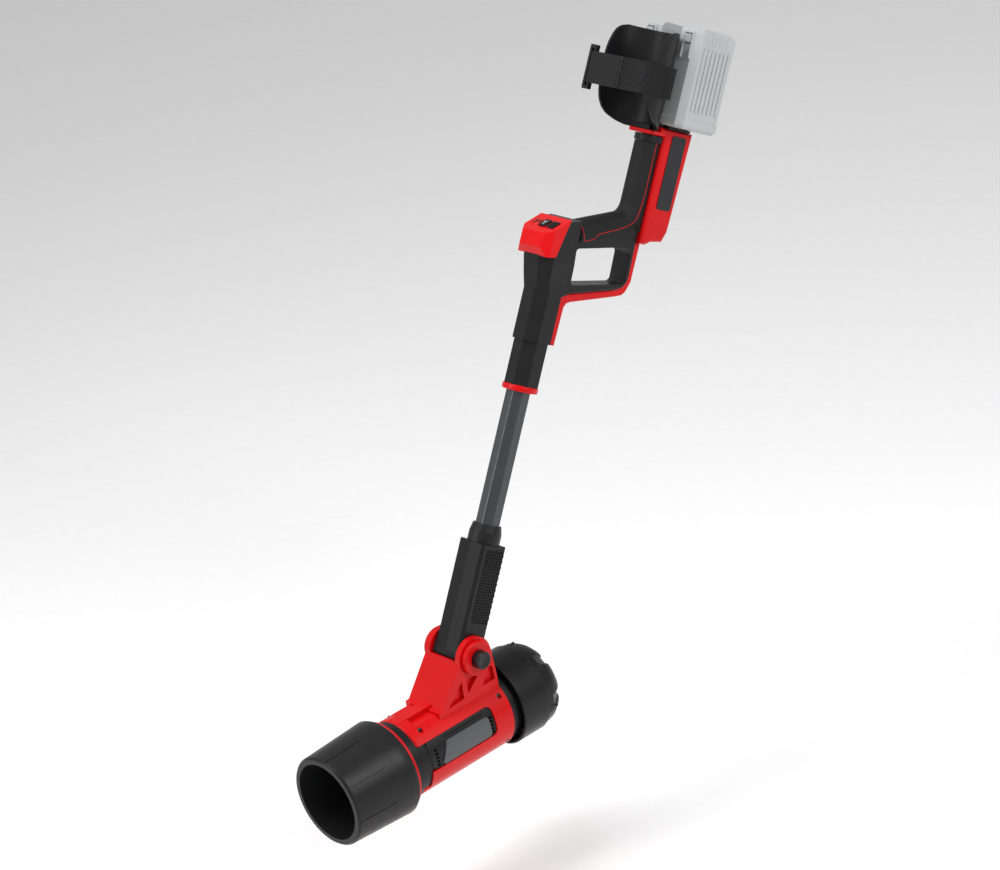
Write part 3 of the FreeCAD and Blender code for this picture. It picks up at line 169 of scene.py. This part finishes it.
def tint(tree, value, first, second, start=0.3, end=0.7):
    """Colour between two colours by a value."""
    ramp = tree.nodes.new("ShaderNodeValToRGB")
    ramp.color_ramp.elements[0].position = start
    ramp.color_ramp.elements[0].color = (*first, 1)
    ramp.color_ramp.elements[1].position = end
    ramp.color_ramp.elements[1].color = (*second, 1)
    tree.links.new(value, ramp.inputs["Fac"])
    return ramp.outputs["Color"]


def bump(tree, body, height, strength, distance, under=None):
    """Bump from a height; returns its normal so that another can lie on top."""
    made = tree.nodes.new("ShaderNodeBump")
    made.inputs["Strength"].default_value = strength
    made.inputs["Distance"].default_value = distance
    tree.links.new(height, made.inputs["Height"])
    if under:
        tree.links.new(under, made.inputs["Normal"])
    tree.links.new(made.outputs["Normal"], body.inputs["Normal"])
    return made.outputs["Normal"]


def plain_floor():
    """Matt white paper."""
    material, tree, body = shader("floor", (0.97, 0.97, 0.97), 0.9)
    grain = noise(tree, place_of(tree), 60)
    tree.links.new(tint(tree, grain, (0.96, 0.96, 0.96), (0.98, 0.98, 0.98)),
                   body.inputs["Base Color"])
    return material


def moulded(name, colour, roughness, grain, coat=0.0, depth=0.00006, lift=1.12):
    """Injection-moulded plastic: spark-eroded grain, faint flow marks, uneven gloss."""
    material, tree, body = shader(name, colour, roughness)
    place = place_of(tree)
    flow = noise(tree, place, 9, 2)
    darker = tuple(channel * 0.94 for channel in colour)
    lighter = tuple(channel * lift for channel in colour)
    tree.links.new(tint(tree, flow, darker, lighter), body.inputs["Base Color"])
    patches = noise(tree, place, 45, 4)
    tree.links.new(spread(tree, patches, roughness * 0.9, roughness * 1.1),
                   body.inputs["Roughness"])
    fine = noise(tree, place, grain, 2, 0.5)
    bump(tree, body, fine, 0.35, depth)
    body.inputs["Coat Weight"].default_value = coat
    body.inputs["Coat Roughness"].default_value = 0.25
    return material


def rubbery(name):
    """Soft overmoulding with a fine pebbled texture."""
    material, tree, body = shader(name, (0.009, 0.009, 0.010), 0.55)
    place = place_of(tree)
    cells = tree.nodes.new("ShaderNodeTexVoronoi")
    cells.inputs["Scale"].default_value = 900
    tree.links.new(place, cells.inputs["Vector"])
    flow = noise(tree, place, 14, 3)
    tree.links.new(tint(tree, flow, (0.007, 0.007, 0.008), (0.011, 0.011, 0.012)),
                   body.inputs["Base Color"])
    tree.links.new(spread(tree, flow, 0.55, 0.7), body.inputs["Roughness"])
    bump(tree, body, cells.outputs["Distance"], 0.7, 0.0003)
    return material


def anodised(name, colour, roughness):
    """Metal with a fine drawn grain along the pole."""
    material, tree, body = shader(name, colour, roughness)
    body.inputs["Metallic"].default_value = 0.85
    place = place_of(tree, turn=(LEAN, 0, 0))
    drawn = tree.nodes.new("ShaderNodeMapping")
    drawn.inputs["Scale"].default_value = (1500, 1500, 6)
    tree.links.new(place, drawn.inputs["Vector"])
    streaks = noise(tree, drawn.outputs["Vector"], 1, 4)
    darker = tuple(channel * 0.9 for channel in colour)
    lighter = tuple(channel * 1.15 for channel in colour)
    tree.links.new(tint(tree, streaks, darker, lighter), body.inputs["Base Color"])
    tree.links.new(spread(tree, streaks, roughness - 0.05, roughness + 0.08),
                   body.inputs["Roughness"])
    bump(tree, body, streaks, 0.12, 0.00004)
    return material


def metal(name, colour, roughness):
    """Machined metal with fine turning marks and dulled patches."""
    material, tree, body = shader(name, colour, roughness)
    body.inputs["Metallic"].default_value = 1
    place = place_of(tree)
    marks = noise(tree, place, 700, 3)
    dull = noise(tree, place, 60, 3)
    tree.links.new(spread(tree, dull, roughness * 0.8, roughness * 1.3), body.inputs["Roughness"])
    bump(tree, body, marks, 0.2, 0.00004)
    return material


LOOKS = {
    "nozzle_plastic": moulded("nozzle_plastic", (0.012, 0.012, 0.013), 0.36, 900),
    "black_plastic": moulded("black_plastic", (0.009, 0.009, 0.010), 0.34, 1000),
    "red_plastic": moulded("red_plastic", (0.60, 0.0015, 0.003), 0.34, 1100, lift=1.05),
    "spine_plastic": moulded("spine_plastic", (0.56, 0.0015, 0.003), 0.34, 1100, lift=1.05),
    "cap_plastic": moulded("cap_plastic", (0.62, 0.0015, 0.003), 0.32, 1100, lift=1.05),
    "steel": metal("steel", (0.12, 0.12, 0.125), 0.35),
    "panel_plastic": moulded("panel_plastic", (0.010, 0.010, 0.011), 0.36, 1000),
    "plate_plastic": moulded("plate_plastic", (0.085, 0.088, 0.092), 0.32, 1200, coat=0.2),
    "motor_steel": metal("motor_steel", (0.3, 0.3, 0.31), 0.4),
    "bearing_steel": metal("bearing_steel", (0.6, 0.6, 0.61), 0.25),
    "impeller_plastic": moulded("impeller_plastic", (0.02, 0.02, 0.022), 0.5, 900),
    "bearing_brass": metal("bearing_brass", (0.7, 0.48, 0.2), 0.3),
    "button_plastic": moulded("button_plastic", (0.010, 0.010, 0.011), 0.30, 1200, coat=0.15),
    "pole_metal": anodised("pole_metal", (0.085, 0.087, 0.092), 0.36),
    "cable_rubber": rubbery("cable_rubber"),
    "arm_plastic": moulded("arm_plastic", (0.010, 0.010, 0.011), 0.34, 1000),
    "arm_insert_plastic": moulded("arm_insert_plastic", (0.012, 0.012, 0.013), 0.42, 900),
    "handle_plastic": moulded("handle_plastic", (0.010, 0.010, 0.011), 0.36, 900, depth=0.00009),
    "grip_rubber": rubbery("grip_rubber"),
    "window_plastic": moulded("window_plastic", (0.008, 0.008, 0.009), 0.14, 1500, depth=0.00001),
    "key_plastic": moulded("key_plastic", (0.012, 0.012, 0.013), 0.36, 1000),
    "name_plate_plastic": moulded("name_plate_plastic", (0.022, 0.022, 0.024), 0.34, 1200),
    "board_plastic": moulded("board_plastic", (0.02, 0.15, 0.06), 0.4, 900),
    "cuff_plastic": moulded("cuff_plastic", (0.009, 0.009, 0.010), 0.34, 900),
    "webbing": rubbery("webbing"),
    "buckle_plastic": moulded("buckle_plastic", (0.013, 0.013, 0.014), 0.34, 1000),
    "terminal_brass": metal("terminal_brass", (0.75, 0.55, 0.25), 0.25),
    "pack_plastic": moulded("pack_plastic", (0.43, 0.44, 0.445), 0.42, 900, lift=1.04),
    "cell_metal": moulded("cell_metal", (0.05, 0.25, 0.35), 0.3, 1500),
    "latch_plastic": moulded("latch_plastic", (0.36, 0.37, 0.38), 0.40, 1000),
    "mark": moulded("mark", (0.75, 0.75, 0.74), 0.4, 1200),
    "pin_line": moulded("pin_line", (0.55, 0.004, 0.006), 0.4, 1200),
}
# width of the rounded edges in metres, where a node needs another than the plain one
PLAIN_BEVEL = 0.0006
BEVELS = {"nozzle": 0.0004, "pole_tube": 0.0009,
          "name_plate_left": 0.0003, "name_plate_right": 0.0003}
NO_BEVEL = ("grip_rubber", "button_spring", "dock_terminals_left", "dock_terminals_right")


def dress():
    """Give every CAD node its material, slightly rounded edges and smooth shading."""
    slots = {entry["node"]: entry["material_slot"] for entry in frame["record"]["subparts"]}
    for name, node in nodes.items():
        node.data.materials.clear()
        node.data.materials.append(LOOKS[slots[name]])
        if name in NO_BEVEL:
            continue
        weld = node.modifiers.new("weld", "WELD")
        weld.merge_threshold = 0.00002
        edge = node.modifiers.new("edge", "BEVEL")
        edge.width = BEVELS.get(name, PLAIN_BEVEL)
        edge.segments = 2
        edge.limit_method = "ANGLE"
        edge.angle_limit = math.radians(34)
        edge.use_clamp_overlap = True
        shade = node.modifiers.new("shade", "WEIGHTED_NORMAL")
        shade.keep_sharp = True
        shade.weight = 80


# ---------------------------------------------------------------- mesh building blocks
def mesh_of(name, work, matrix):
    """Mesh in metres from a bmesh drawn in a helper frame, with its faces turned outward."""
    bmesh.ops.recalc_face_normals(work, faces=work.faces)
    bmesh.ops.transform(work, matrix=matrix, verts=work.verts)
    mesh = bpy.data.meshes.new(name)
    work.to_mesh(mesh)
    work.free()
    return mesh


def piece(name, work, matrix, look, body, edge=0.0, segments=2, solid=0.0, offset=-1):
    """Object from a bmesh drawn in a helper frame; it rides on a body of the frame.

    edge is the width its sharp edges are rounded by. solid is the wall given to an open
    surface, to one side of it with offset -1 or half to each side with offset 0.
    """
    mesh = mesh_of(name, work, matrix)
    for polygon in mesh.polygons:
        polygon.use_smooth = True
    made = bpy.data.objects.new(name, mesh)
    bpy.context.scene.collection.objects.link(made)
    made.data.materials.append(LOOKS[look])
    if solid:
        thick = made.modifiers.new("thick", "SOLIDIFY")
        thick.thickness = solid
        thick.offset = offset
    if edge:
        soften(made, edge, segments)
    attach(made, body)
    return made


def soften(made, edge, segments):
    """Round the sharp edges of a piece and smooth its shading."""
    bevel = made.modifiers.new("edge", "BEVEL")
    bevel.width = edge
    bevel.segments = segments
    bevel.limit_method = "ANGLE"
    bevel.angle_limit = math.radians(30)
    shade = made.modifiers.new("shade", "WEIGHTED_NORMAL")
    shade.keep_sharp = True


def carve(made, low, high):
    """Cut a block, given in the pole frame, out of a piece's own mesh."""
    work = bmesh.new()
    block(work, low, high)
    mesh = mesh_of("cutter", work, POLE)
    cutter = bpy.data.objects.new("cutter", mesh)
    bpy.context.scene.collection.objects.link(cutter)
    boolean = made.modifiers.new("cut", "BOOLEAN")
    boolean.object = cutter
    boolean.operation = "DIFFERENCE"
    boolean.solver = "EXACT"
    bpy.context.view_layer.update()
    evaluated = made.evaluated_get(bpy.context.evaluated_depsgraph_get())
    carved = bpy.data.meshes.new_from_object(evaluated)
    made.modifiers.remove(boolean)
    made.data = carved
    bpy.data.objects.remove(cutter)
    bpy.data.meshes.remove(mesh)


def stacked(work, rings):
    """Closed solid through rings of equal length, capped at both ends."""
    rows = [[work.verts.new(point) for point in ring] for ring in rings]
    for low, high in zip(rows, rows[1:]):
        for index in range(len(low)):
            following = (index + 1) % len(low)
            work.faces.new((low[index], low[following], high[following], high[index]))
    work.faces.new(rows[0])
    work.faces.new(rows[-1])


def block(work, low, high):
    """Plain block between two corners."""
    corners = [(low[0], low[1]), (high[0], low[1]), (high[0], high[1]), (low[0], high[1])]
    stacked(work, [[(x, y, level) for x, y in corners] for level in (low[2], high[2])])


def sided(side, low, high):
    """Corners of a block on the left, or of its mirror image for side -1."""
    near, far = side * low[0], side * high[0]
    return (min(near, far), *low[1:]), (max(near, far), *high[1:])


def hoop(work, rings):
    """Band through closed sections that comes round to the first one again."""
    for first, second in zip(rings, rings[1:] + rings[:1]):
        for index in range(len(first)):
            following = (index + 1) % len(first)
            work.faces.new((first[index], first[following], second[following], second[index]))


def surface(work, rows):
    """Open surface through rows of points."""
    grid = [[work.verts.new(point) for point in row] for row in rows]
    for first, second in zip(grid, grid[1:]):
        for index in range(len(first) - 1):
            work.faces.new((first[index], first[index + 1], second[index + 1], second[index]))


def tube_along(work, points, radius, sides=8):
    """Round cord through the points."""
    rings = []
    for index, point in enumerate(points):
        before = points[max(index - 1, 0)]
        after = points[min(index + 1, len(points) - 1)]
        ahead = (after - before).normalized()
        across = ahead.cross(Vector((0.3, 0.5, 0.8))).normalized()
        above = ahead.cross(across)
        rings.append([point + (across * math.cos(turn) + above * math.sin(turn)) * radius
                      for turn in (2 * math.pi * side / sides for side in range(sides))])
    stacked(work, rings)


def smooth_path(points, count):
    """Evenly spaced points on a smooth curve through the given ones."""
    ends = [2 * points[0] - points[1]] + points + [2 * points[-1] - points[-2]]
    fine = []
    for index in range(1, len(ends) - 2):
        p0, p1, p2, p3 = ends[index - 1:index + 3]
        for step in range(24):
            t = step / 24
            fine.append(0.5 * (2 * p1 + (p2 - p0) * t + (2 * p0 - 5 * p1 + 4 * p2 - p3) * t * t
                               + (3 * p1 - p0 - 3 * p2 + p3) * t ** 3))
    fine.append(points[-1])
    lengths = [0.0]
    for first, second in zip(fine, fine[1:]):
        lengths.append(lengths[-1] + (second - first).length)
    even = []
    index = 0
    for step in range(count):
        wanted = lengths[-1] * step / (count - 1)
        while index < len(fine) - 2 and lengths[index + 1] < wanted:
            index += 1
        span = max(lengths[index + 1] - lengths[index], 1e-9)
        even.append(fine[index].lerp(fine[index + 1], (wanted - lengths[index]) / span))
    return even, lengths[-1]


# ---------------------------------------------------------------- forearm cuff and strap
CUFF_RADIUS = 47.5
CUFF_BACK = 72
CUFF_FOOT, CUFF_TOP = 706, 833
CUFF_WALL = 0.0034
STRAP_LOW, STRAP_HIGH = 748, 788
# front edge of the cuff's wings: height up the pole, distance back from the pole
CUFF_FRONT = [(CUFF_FOOT, 108), (709, 98), (715, 84), (722, 75), (731, 68), (742, 64), (760, 61),
              (778, 59.5), (795, 60), (806, 62), (817, 66), (825, 71), (830, 78), (CUFF_TOP, 88)]


def between(pairs, value):
    """Value between the listed pairs."""
    for (low, first), (high, second) in zip(pairs, pairs[1:]):
        if value <= high:
            return first + (second - first) * (value - low) / (high - low)
    return pairs[-1][1]


def cuff_point(run, height, radius):
    """Point on the trough: run is the length along its section from the rear middle line."""
    quarter = radius * math.pi / 2
    side = 1 if run >= 0 else -1
    run = abs(run)
    if run <= quarter:
        angle = run / radius
        return Vector((side * radius * math.sin(angle),
                       CUFF_BACK + radius * math.cos(angle), height))
    return Vector((side * radius, CUFF_BACK - (run - quarter), height))


def cuff():
    """Moulded trough with rounded wings and an even wall."""
    quarter = CUFF_RADIUS * math.pi / 2
    rows = []
    levels = 44
    for step in range(levels + 1):
        share = 0.5 - 0.5 * math.cos(math.pi * step / levels)
        height = CUFF_FOOT + (CUFF_TOP - CUFF_FOOT) * (0.6 * share + 0.4 * step / levels)
        front = between(CUFF_FRONT, height)
        if front <= CUFF_BACK:
            reach = quarter + CUFF_BACK - front
        else:
            reach = CUFF_RADIUS * math.acos(min(1, (front - CUFF_BACK) / CUFF_RADIUS))
        rows.append([cuff_point(reach * (column / 28 - 1), height, CUFF_RADIUS)
                     for column in range(57)])
    work = bmesh.new()
    surface(work, rows)
    shell = piece("cuff_shell", work, POLE, "cuff_plastic", "handle",
                  edge=0.0009, segments=3, solid=CUFF_WALL)
    base = bmesh.new()
    block(base, (-14, 109, 706.2), (14, 123.5, 713))
    block(base, (-15, CUFF_BACK + CUFF_RADIUS - 2.4, 722), (15, CUFF_BACK + CUFF_RADIUS + 3, 822))
    piece("cuff_mount", base, POLE, "cuff_plastic", "handle", edge=0.001)
    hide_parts("forearm_cuff")


STRAP_RIBS = 14
# the strap seen from above, from the near wing round the front: lateral, back from the pole
STRAP_LINE = [(49.6, 97), (50.2, 88), (50.2, 76), (49.9, 66), (49.2, 58), (46, 50), (38.5, 45.6),
              (27, 44.2), (14, 44), (0, 44), (-20, 44), (-40, 44), (-50, 43.8)]
# the flap folded over the buckle, on both sides of the strap
FLAP_LINE = [(7, 42), (2, 41.6), (-20, 41.2), (-40, 41.2), (-49, 41.6), (-53.4, 43.4), (-50, 45.6),
             (-40, 46.2), (-10, 46.2)]
# blocks of the buckle's ring, lowest and highest corners
BUCKLE_BARS = [((-55.5, 40.6, 742), (-51.8, 47.4, 794)), ((-47.4, 40.2, 742), (-44.6, 48, 794)),
               ((-55.5, 40.6, 739), (-44.6, 48, 744)), ((-55.5, 40.6, 792), (-44.6, 48, 797))]


def strap():
    """Elastic forearm strap: lengthwise ribs, a plain folded flap and zig-zag ends."""
    line, length = smooth_path([Vector((x, back, 0)) for x, back in STRAP_LINE], 150)
    wide = STRAP_HIGH - STRAP_LOW
    columns = STRAP_RIBS * 6
    rows = []
    for index, point in enumerate(line):
        ahead = (line[min(index + 1, len(line) - 1)] - line[max(index - 1, 0)]).normalized()
        outward = Vector((ahead.y, -ahead.x, 0))
        if outward.y > 0 and outward.x < 0:
            outward = -outward
        near_end = max(0.0, 1 - min(index, len(line) - 1 - index) / 6)
        row = []
        for column in range(columns + 1):
            share = column / columns
            rib = abs(math.sin(math.pi * share * STRAP_RIBS)) ** 0.6 * 0.95 * (1 - near_end * 0.5)
            notch = 0.9 * near_end * abs((share * 22) % 1 - 0.5)
            place = point - outward * rib + ahead * notch * (1 if index < 75 else -1)
            row.append((place.x, place.y, STRAP_LOW + wide * share))
        rows.append(row)
    work = bmesh.new()
    surface(work, rows)
    band = piece("strap_band", work, POLE, "webbing", "handle", solid=0.0014, offset=0)
    flap_line = smooth_path([Vector((x, back, 0)) for x, back in FLAP_LINE], 70)[0]
    rows = []
    for index, point in enumerate(flap_line):
        sag = 0.125 * math.sin(index * 0.21)
        rows.append([(point.x, point.y + sag * math.sin(3.1 * share),
                      STRAP_LOW - 0.6 + (wide + 1.2) * share)
                     for share in (column / 12 for column in range(13))])
    work = bmesh.new()
    surface(work, rows)
    flap = piece("strap_flap", work, POLE, "buckle_plastic", "handle", solid=0.0012, offset=0)
    stitch = bmesh.new()
    for across in (4.2, 2.4):
        for step in range(13):
            low = STRAP_LOW + 1.5 + 2.9 * step
            block(stitch, (across - 0.25, 40.7, low), (across + 0.25, 41.3, low + 1.9))
    stitches = piece("strap_stitches", stitch, POLE, "webbing", "handle", edge=0.0001)
    ring = bmesh.new()
    for low, high in BUCKLE_BARS:
        block(ring, low, high)
    for step in range(13):
        low = 743 + 3.9 * step
        block(ring, (-57.2, 41.6, low), (-55.2, 46.4, low + 2.2))
    buckle = piece("buckle_frame", ring, POLE, "buckle_plastic", "handle", edge=0.0008, segments=3)
    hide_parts("strap_buckle")
    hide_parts("cuff_strap")


# ---------------------------------------------------------------- battery packs
# bars round the latch: nearest and farthest from the middle, lowest and highest
LATCH_FRAME = [(25.5, 28.4, 806, 841), (40.6, 43.5, 806, 841), (28.4, 40.6, 838.6, 841)]


def pack(side, name):
    """Case of a battery pack: cut corners, side ribs, top ridges and a foot lip."""
    inner, outer, front, back = 17.5, 53.0, 121.0, 200.0
    body = "battery_" + name

    def section(height, inset, cut=8.5):
        x0, x1 = inner, outer - inset
        s0, s1 = front + inset, back - inset
        points = [(x0, s0), (x1 - cut, s0), (x1, s0 + cut),
                  (x1, s1 - cut), (x1 - cut, s1), (x0, s1)]
        return [(side * x, s, height) for x, s in points]
    work = bmesh.new()
    stacked(work, [section(717, 3.6), section(721, 0), section(729.5, 0), section(731, 1.1),
                   section(842, 1.1), section(848, 6.5)])
    case = piece("pack_case_" + name, work, POLE, "pack_plastic", body)
    # the well that the latch is pressed into
    carve(case, *sided(side, (28.6, front - 4, 825.6), (40.4, front + 4, 838.4)))
    soften(case, 0.0022, 4)
    face = outer - 1.1
    ribs = bmesh.new()
    for step in range(7):
        low = 136 + 7.6 * step
        block(ribs, *sided(side, (face, low, 741), (face + 1.3, low + 4.2, 823)))
    for step in range(6):
        low = 141 + 7.0 * step
        block(ribs, *sided(side, (face - 9, low, 829), (face + 0.6, low + 3.4, 844.5)))
    raised = piece("pack_ribs_" + name, ribs, POLE, "pack_plastic", body, edge=0.0008, segments=3)
    hood = bmesh.new()
    for low, high, bottom, top in LATCH_FRAME:
        block(hood, *sided(side, (low, front - 1.6, bottom), (high, front + 1.4, top)))
    latch_frame = piece("pack_latch_frame_" + name, hood, POLE, "pack_plastic", body, edge=0.0008)
    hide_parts("battery_%s_case" % name)


# ---------------------------------------------------------------- lower arm's honeycomb
CELL_PITCH = 4.3
CELLS_FOOT, CELLS_TOP = 46.0, 139
CELLS_FRONT, CELLS_BACK = -10.6, 17.6


def honeycomb(side, name):
    """Open hexagonal cells on the arm's insert, inside the side slot."""
    work = bmesh.new()
    rise = CELL_PITCH * math.sqrt(3) / 2
    x_top, x_low = side * 22.7, side * 21.45
    row = 0
    height = CELLS_FOOT
    while height < CELLS_TOP:
        back = CELLS_FRONT + (CELL_PITCH / 2 if row % 2 else 0)
        while back < CELLS_BACK:
            rim, lip, floor = [], [], []
            for corner in range(6):
                angle = math.radians(60 * corner + 30)
                for ring, x, reach in ((rim, x_top, 0.578), (lip, x_top, 0.43),
                                       (floor, x_low, 0.40)):
                    ring.append(work.verts.new((x, back + CELL_PITCH * reach * math.cos(angle),
                                                height + CELL_PITCH * reach * math.sin(angle))))
            for corner in range(6):
                following = (corner + 1) % 6
                work.faces.new((rim[corner], rim[following], lip[following], lip[corner]))
                work.faces.new((lip[corner], lip[following], floor[following], floor[corner]))
            work.faces.new(floor)
            back += CELL_PITCH
        height += rise
        row += 1
    bmesh.ops.remove_doubles(work, verts=work.verts, dist=0.02)
    cells = piece("arm_honeycomb_" + name, work, POLE, "arm_insert_plastic", "handle")
    for polygon in cells.data.polygons:
        polygon.use_smooth = False


# ---------------------------------------------------------------- intake guard
# section of the guard's wall, out and back in: length along the fan, radius
GUARD_WALL = [(87.4, 58.6), (96, 58.0), (104, 56.2), (111, 51.8), (116, 46.6), (118, 43.2),
              (117, 41.2), (112, 44.6), (105, 50.0), (96, 53.6), (87.4, 54.6)]
GRILLE_FRONT, GRILLE_REAR = 106, 109


def guard():
    """Domed rear guard with six shallow scallops, lugs in windows and an open grille."""
    work = bmesh.new()
    sides = 144
    rings = []
    for side in range(sides):
        turn = 2 * math.pi * side / sides
        wave = math.cos(6 * turn + 0.7)
        dip = min(1.0, max(0.0, (wave - 0.55) / 0.2))
        ring = []
        for along, radius in GUARD_WALL:
            late = min(1.0, max(0.0, (along - 97) / 6))
            reach = radius - 3.0 * dip * late
            ring.append((reach * math.cos(turn), along - 1.6 * dip * late, reach * math.sin(turn)))
        rings.append([work.verts.new(point) for point in ring])
    hoop(work, rings)
    wall = piece("guard_wall", work, FAN, "black_plastic", "fan_unit", edge=0.0006)
    grille = bmesh.new()
    for radius in (14, 26, 38):
        inner, outer = radius - 1.1, radius + 1.1
        corners = ((GRILLE_FRONT, inner), (GRILLE_FRONT, outer), (GRILLE_REAR, outer),
                   (GRILLE_REAR, inner))
        rows = []
        for side in range(72):
            turn = 2 * math.pi * side / 72
            rows.append([grille.verts.new((reach * math.cos(turn), along, reach * math.sin(turn)))
                         for along, reach in corners])
        hoop(grille, rows)
    for step in range(6):
        turn = Matrix.Rotation(math.radians(step * 60 + 50), 4, "Y")
        spoke = bmesh.new()
        block(spoke, (13, GRILLE_FRONT, -1.2), (50, GRILLE_REAR, 1.2))
        bmesh.ops.transform(spoke, matrix=turn, verts=spoke.verts)
        joined = bpy.data.meshes.new("spoke")
        spoke.to_mesh(joined)
        spoke.free()
        grille.from_mesh(joined)
        bpy.data.meshes.remove(joined)
    bars = piece("guard_grille", grille, FAN, "black_plastic", "fan_unit", edge=0.0003)
    lugs = bmesh.new()
    for step in range(6):
        angle = math.radians(step * 60 + 43)
        out = Vector((math.cos(angle), 0, math.sin(angle)))
        side = Vector((-math.sin(angle), 0, math.cos(angle)))
        for low, high, near, far in ((-5, 5, 89.5, 97.5), (-1.4, 1.4, 97.5, 103)):
            corners = ((low, near), (high, near), (high, far), (low, far))
            stacked(lugs, [[tuple(out * level + side * across + Vector((0, along, 0)))
                            for across, along in corners] for level in (56.0, 58.7)])
    piece("guard_tabs", lugs, FAN, "panel_plastic", "fan_unit", edge=0.0005)
    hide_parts("intake_guard")


# ---------------------------------------------------------------- grip line, keys
GRIP_SLOPE = math.radians(17)
GRIP_BEND = 34
# radius of the inlaid line's path, just proud of the rubber
LINE_RADIUS = 18.05
# length along the grip, angle round it from its side towards its top
LINE_PATH = [(0.5, 90), (0.8, 66), (1.4, 42), (2.2, 18), (3.2, -6), (4.2, -24), (6, -28),
             (12, -28.5), (20, -28), (23.5, -26), (26.5, -13), (30, -8), (44, -6), (60, -4),
             (74, 0), (86, 3), (100, 6), (130, 8), (160, 8), (184, 8), (204, 8)]


def grip_centre(run):
    """Centre line of the grip at a length along it, and the normal that points up.

    It climbs straight back from its start, then bends up into the spine.
    """
    ahead = Vector((0, math.cos(GRIP_SLOPE), math.sin(GRIP_SLOPE)))
    corner = Vector((0, 128, 565 + (128 - 64) * math.tan(GRIP_SLOPE)))
    start = Vector((0, 31, 565 + (31 - 64) * math.tan(GRIP_SLOPE)))
    turn = math.pi / 2 - GRIP_SLOPE
    tangent = GRIP_BEND * math.tan(turn / 2)
    straight = (corner - start).length - tangent
    first = corner - ahead * tangent
    normal = Vector((0, -math.sin(GRIP_SLOPE), math.cos(GRIP_SLOPE)))
    if run <= straight:
        return start + ahead * run, normal
    heading = GRIP_SLOPE + min((run - straight) / GRIP_BEND, turn)
    centre = first + normal * GRIP_BEND
    normal = Vector((0, -math.sin(heading), math.cos(heading)))
    beyond = max(0, run - straight - GRIP_BEND * turn)
    return centre - normal * GRIP_BEND + Vector((0, 0, beyond)), normal


def pin_lines():
    """Thin red line inlaid round the front of the grip and along each side."""
    for side, name in ((1, "left"), (-1, "right")):
        points = []
        for run, angle in LINE_PATH:
            centre, normal = grip_centre(run)
            turn = math.radians(angle)
            across = Vector((side * math.cos(turn), 0, 0))
            points.append(centre + across * LINE_RADIUS + normal * LINE_RADIUS * math.sin(turn))
        even = smooth_path(points, 150)[0]
        work = bmesh.new()
        tube_along(work, even, 0.42)
        piece("grip_line_" + name, work, POLE, "pin_line", "handle")


def on_cap():
    """Frame of the red cap's sloping face: x across, y up the slope, z out of it."""
    slope = math.atan2(571.5 - 548, 38 - 4)
    return POLE @ Matrix.Translation((0, -21, 559.75)) @ Matrix.Rotation(slope, 4, "X")


def cap_marks():
    """Slashes of the indicator, the rocker's mark and the ribs of the power key."""
    face = on_cap()
    filler = bmesh.new()
    block(filler, (-21.7, -6.7, -4), (-8.3, 6.7, 0.15))
    red = piece("cap_filler", filler, face, "cap_plastic", "handle")
    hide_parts("indicator_window")
    slashes = bmesh.new()
    for step in range(4):
        x = -20.4 + 3.0 * step
        foot = -3.5 + 0.6 * step
        corners = [(x, foot), (x + 1.3, foot), (x + 2.6, 4.5), (x + 1.3, 4.5)]
        stacked(slashes, [[(a, b, level) for a, b in corners] for level in (-0.2, 0.4)])
    piece("indicator_slashes", slashes, face, "window_plastic", "handle", edge=0.0001)
    mark = bmesh.new()
    block(mark, (-2.6, 1.2, 2.1), (2.6, 2.2, 2.35))
    block(mark, (-0.5, -4.4, 2.1), (0.5, -0.6, 2.35))
    piece("rocker_mark", mark, face, "mark", "speed_rocker", edge=0.00008)
    ribs = bmesh.new()
    for step in range(5):
        low = -5.6 + 2.5 * step
        block(ribs, (10.2, low, 1.4), (19.8, low + 1.2, 2.3))
    piece("power_ribs", ribs, face, "key_plastic", "power_button", edge=0.0003)


camera()
studio()
dress()
cuff()
strap()
for side, name in ((1, "left"), (-1, "right")):
    pack(side, name)
    honeycomb(side, name)
guard()
pin_lines()
cap_marks()
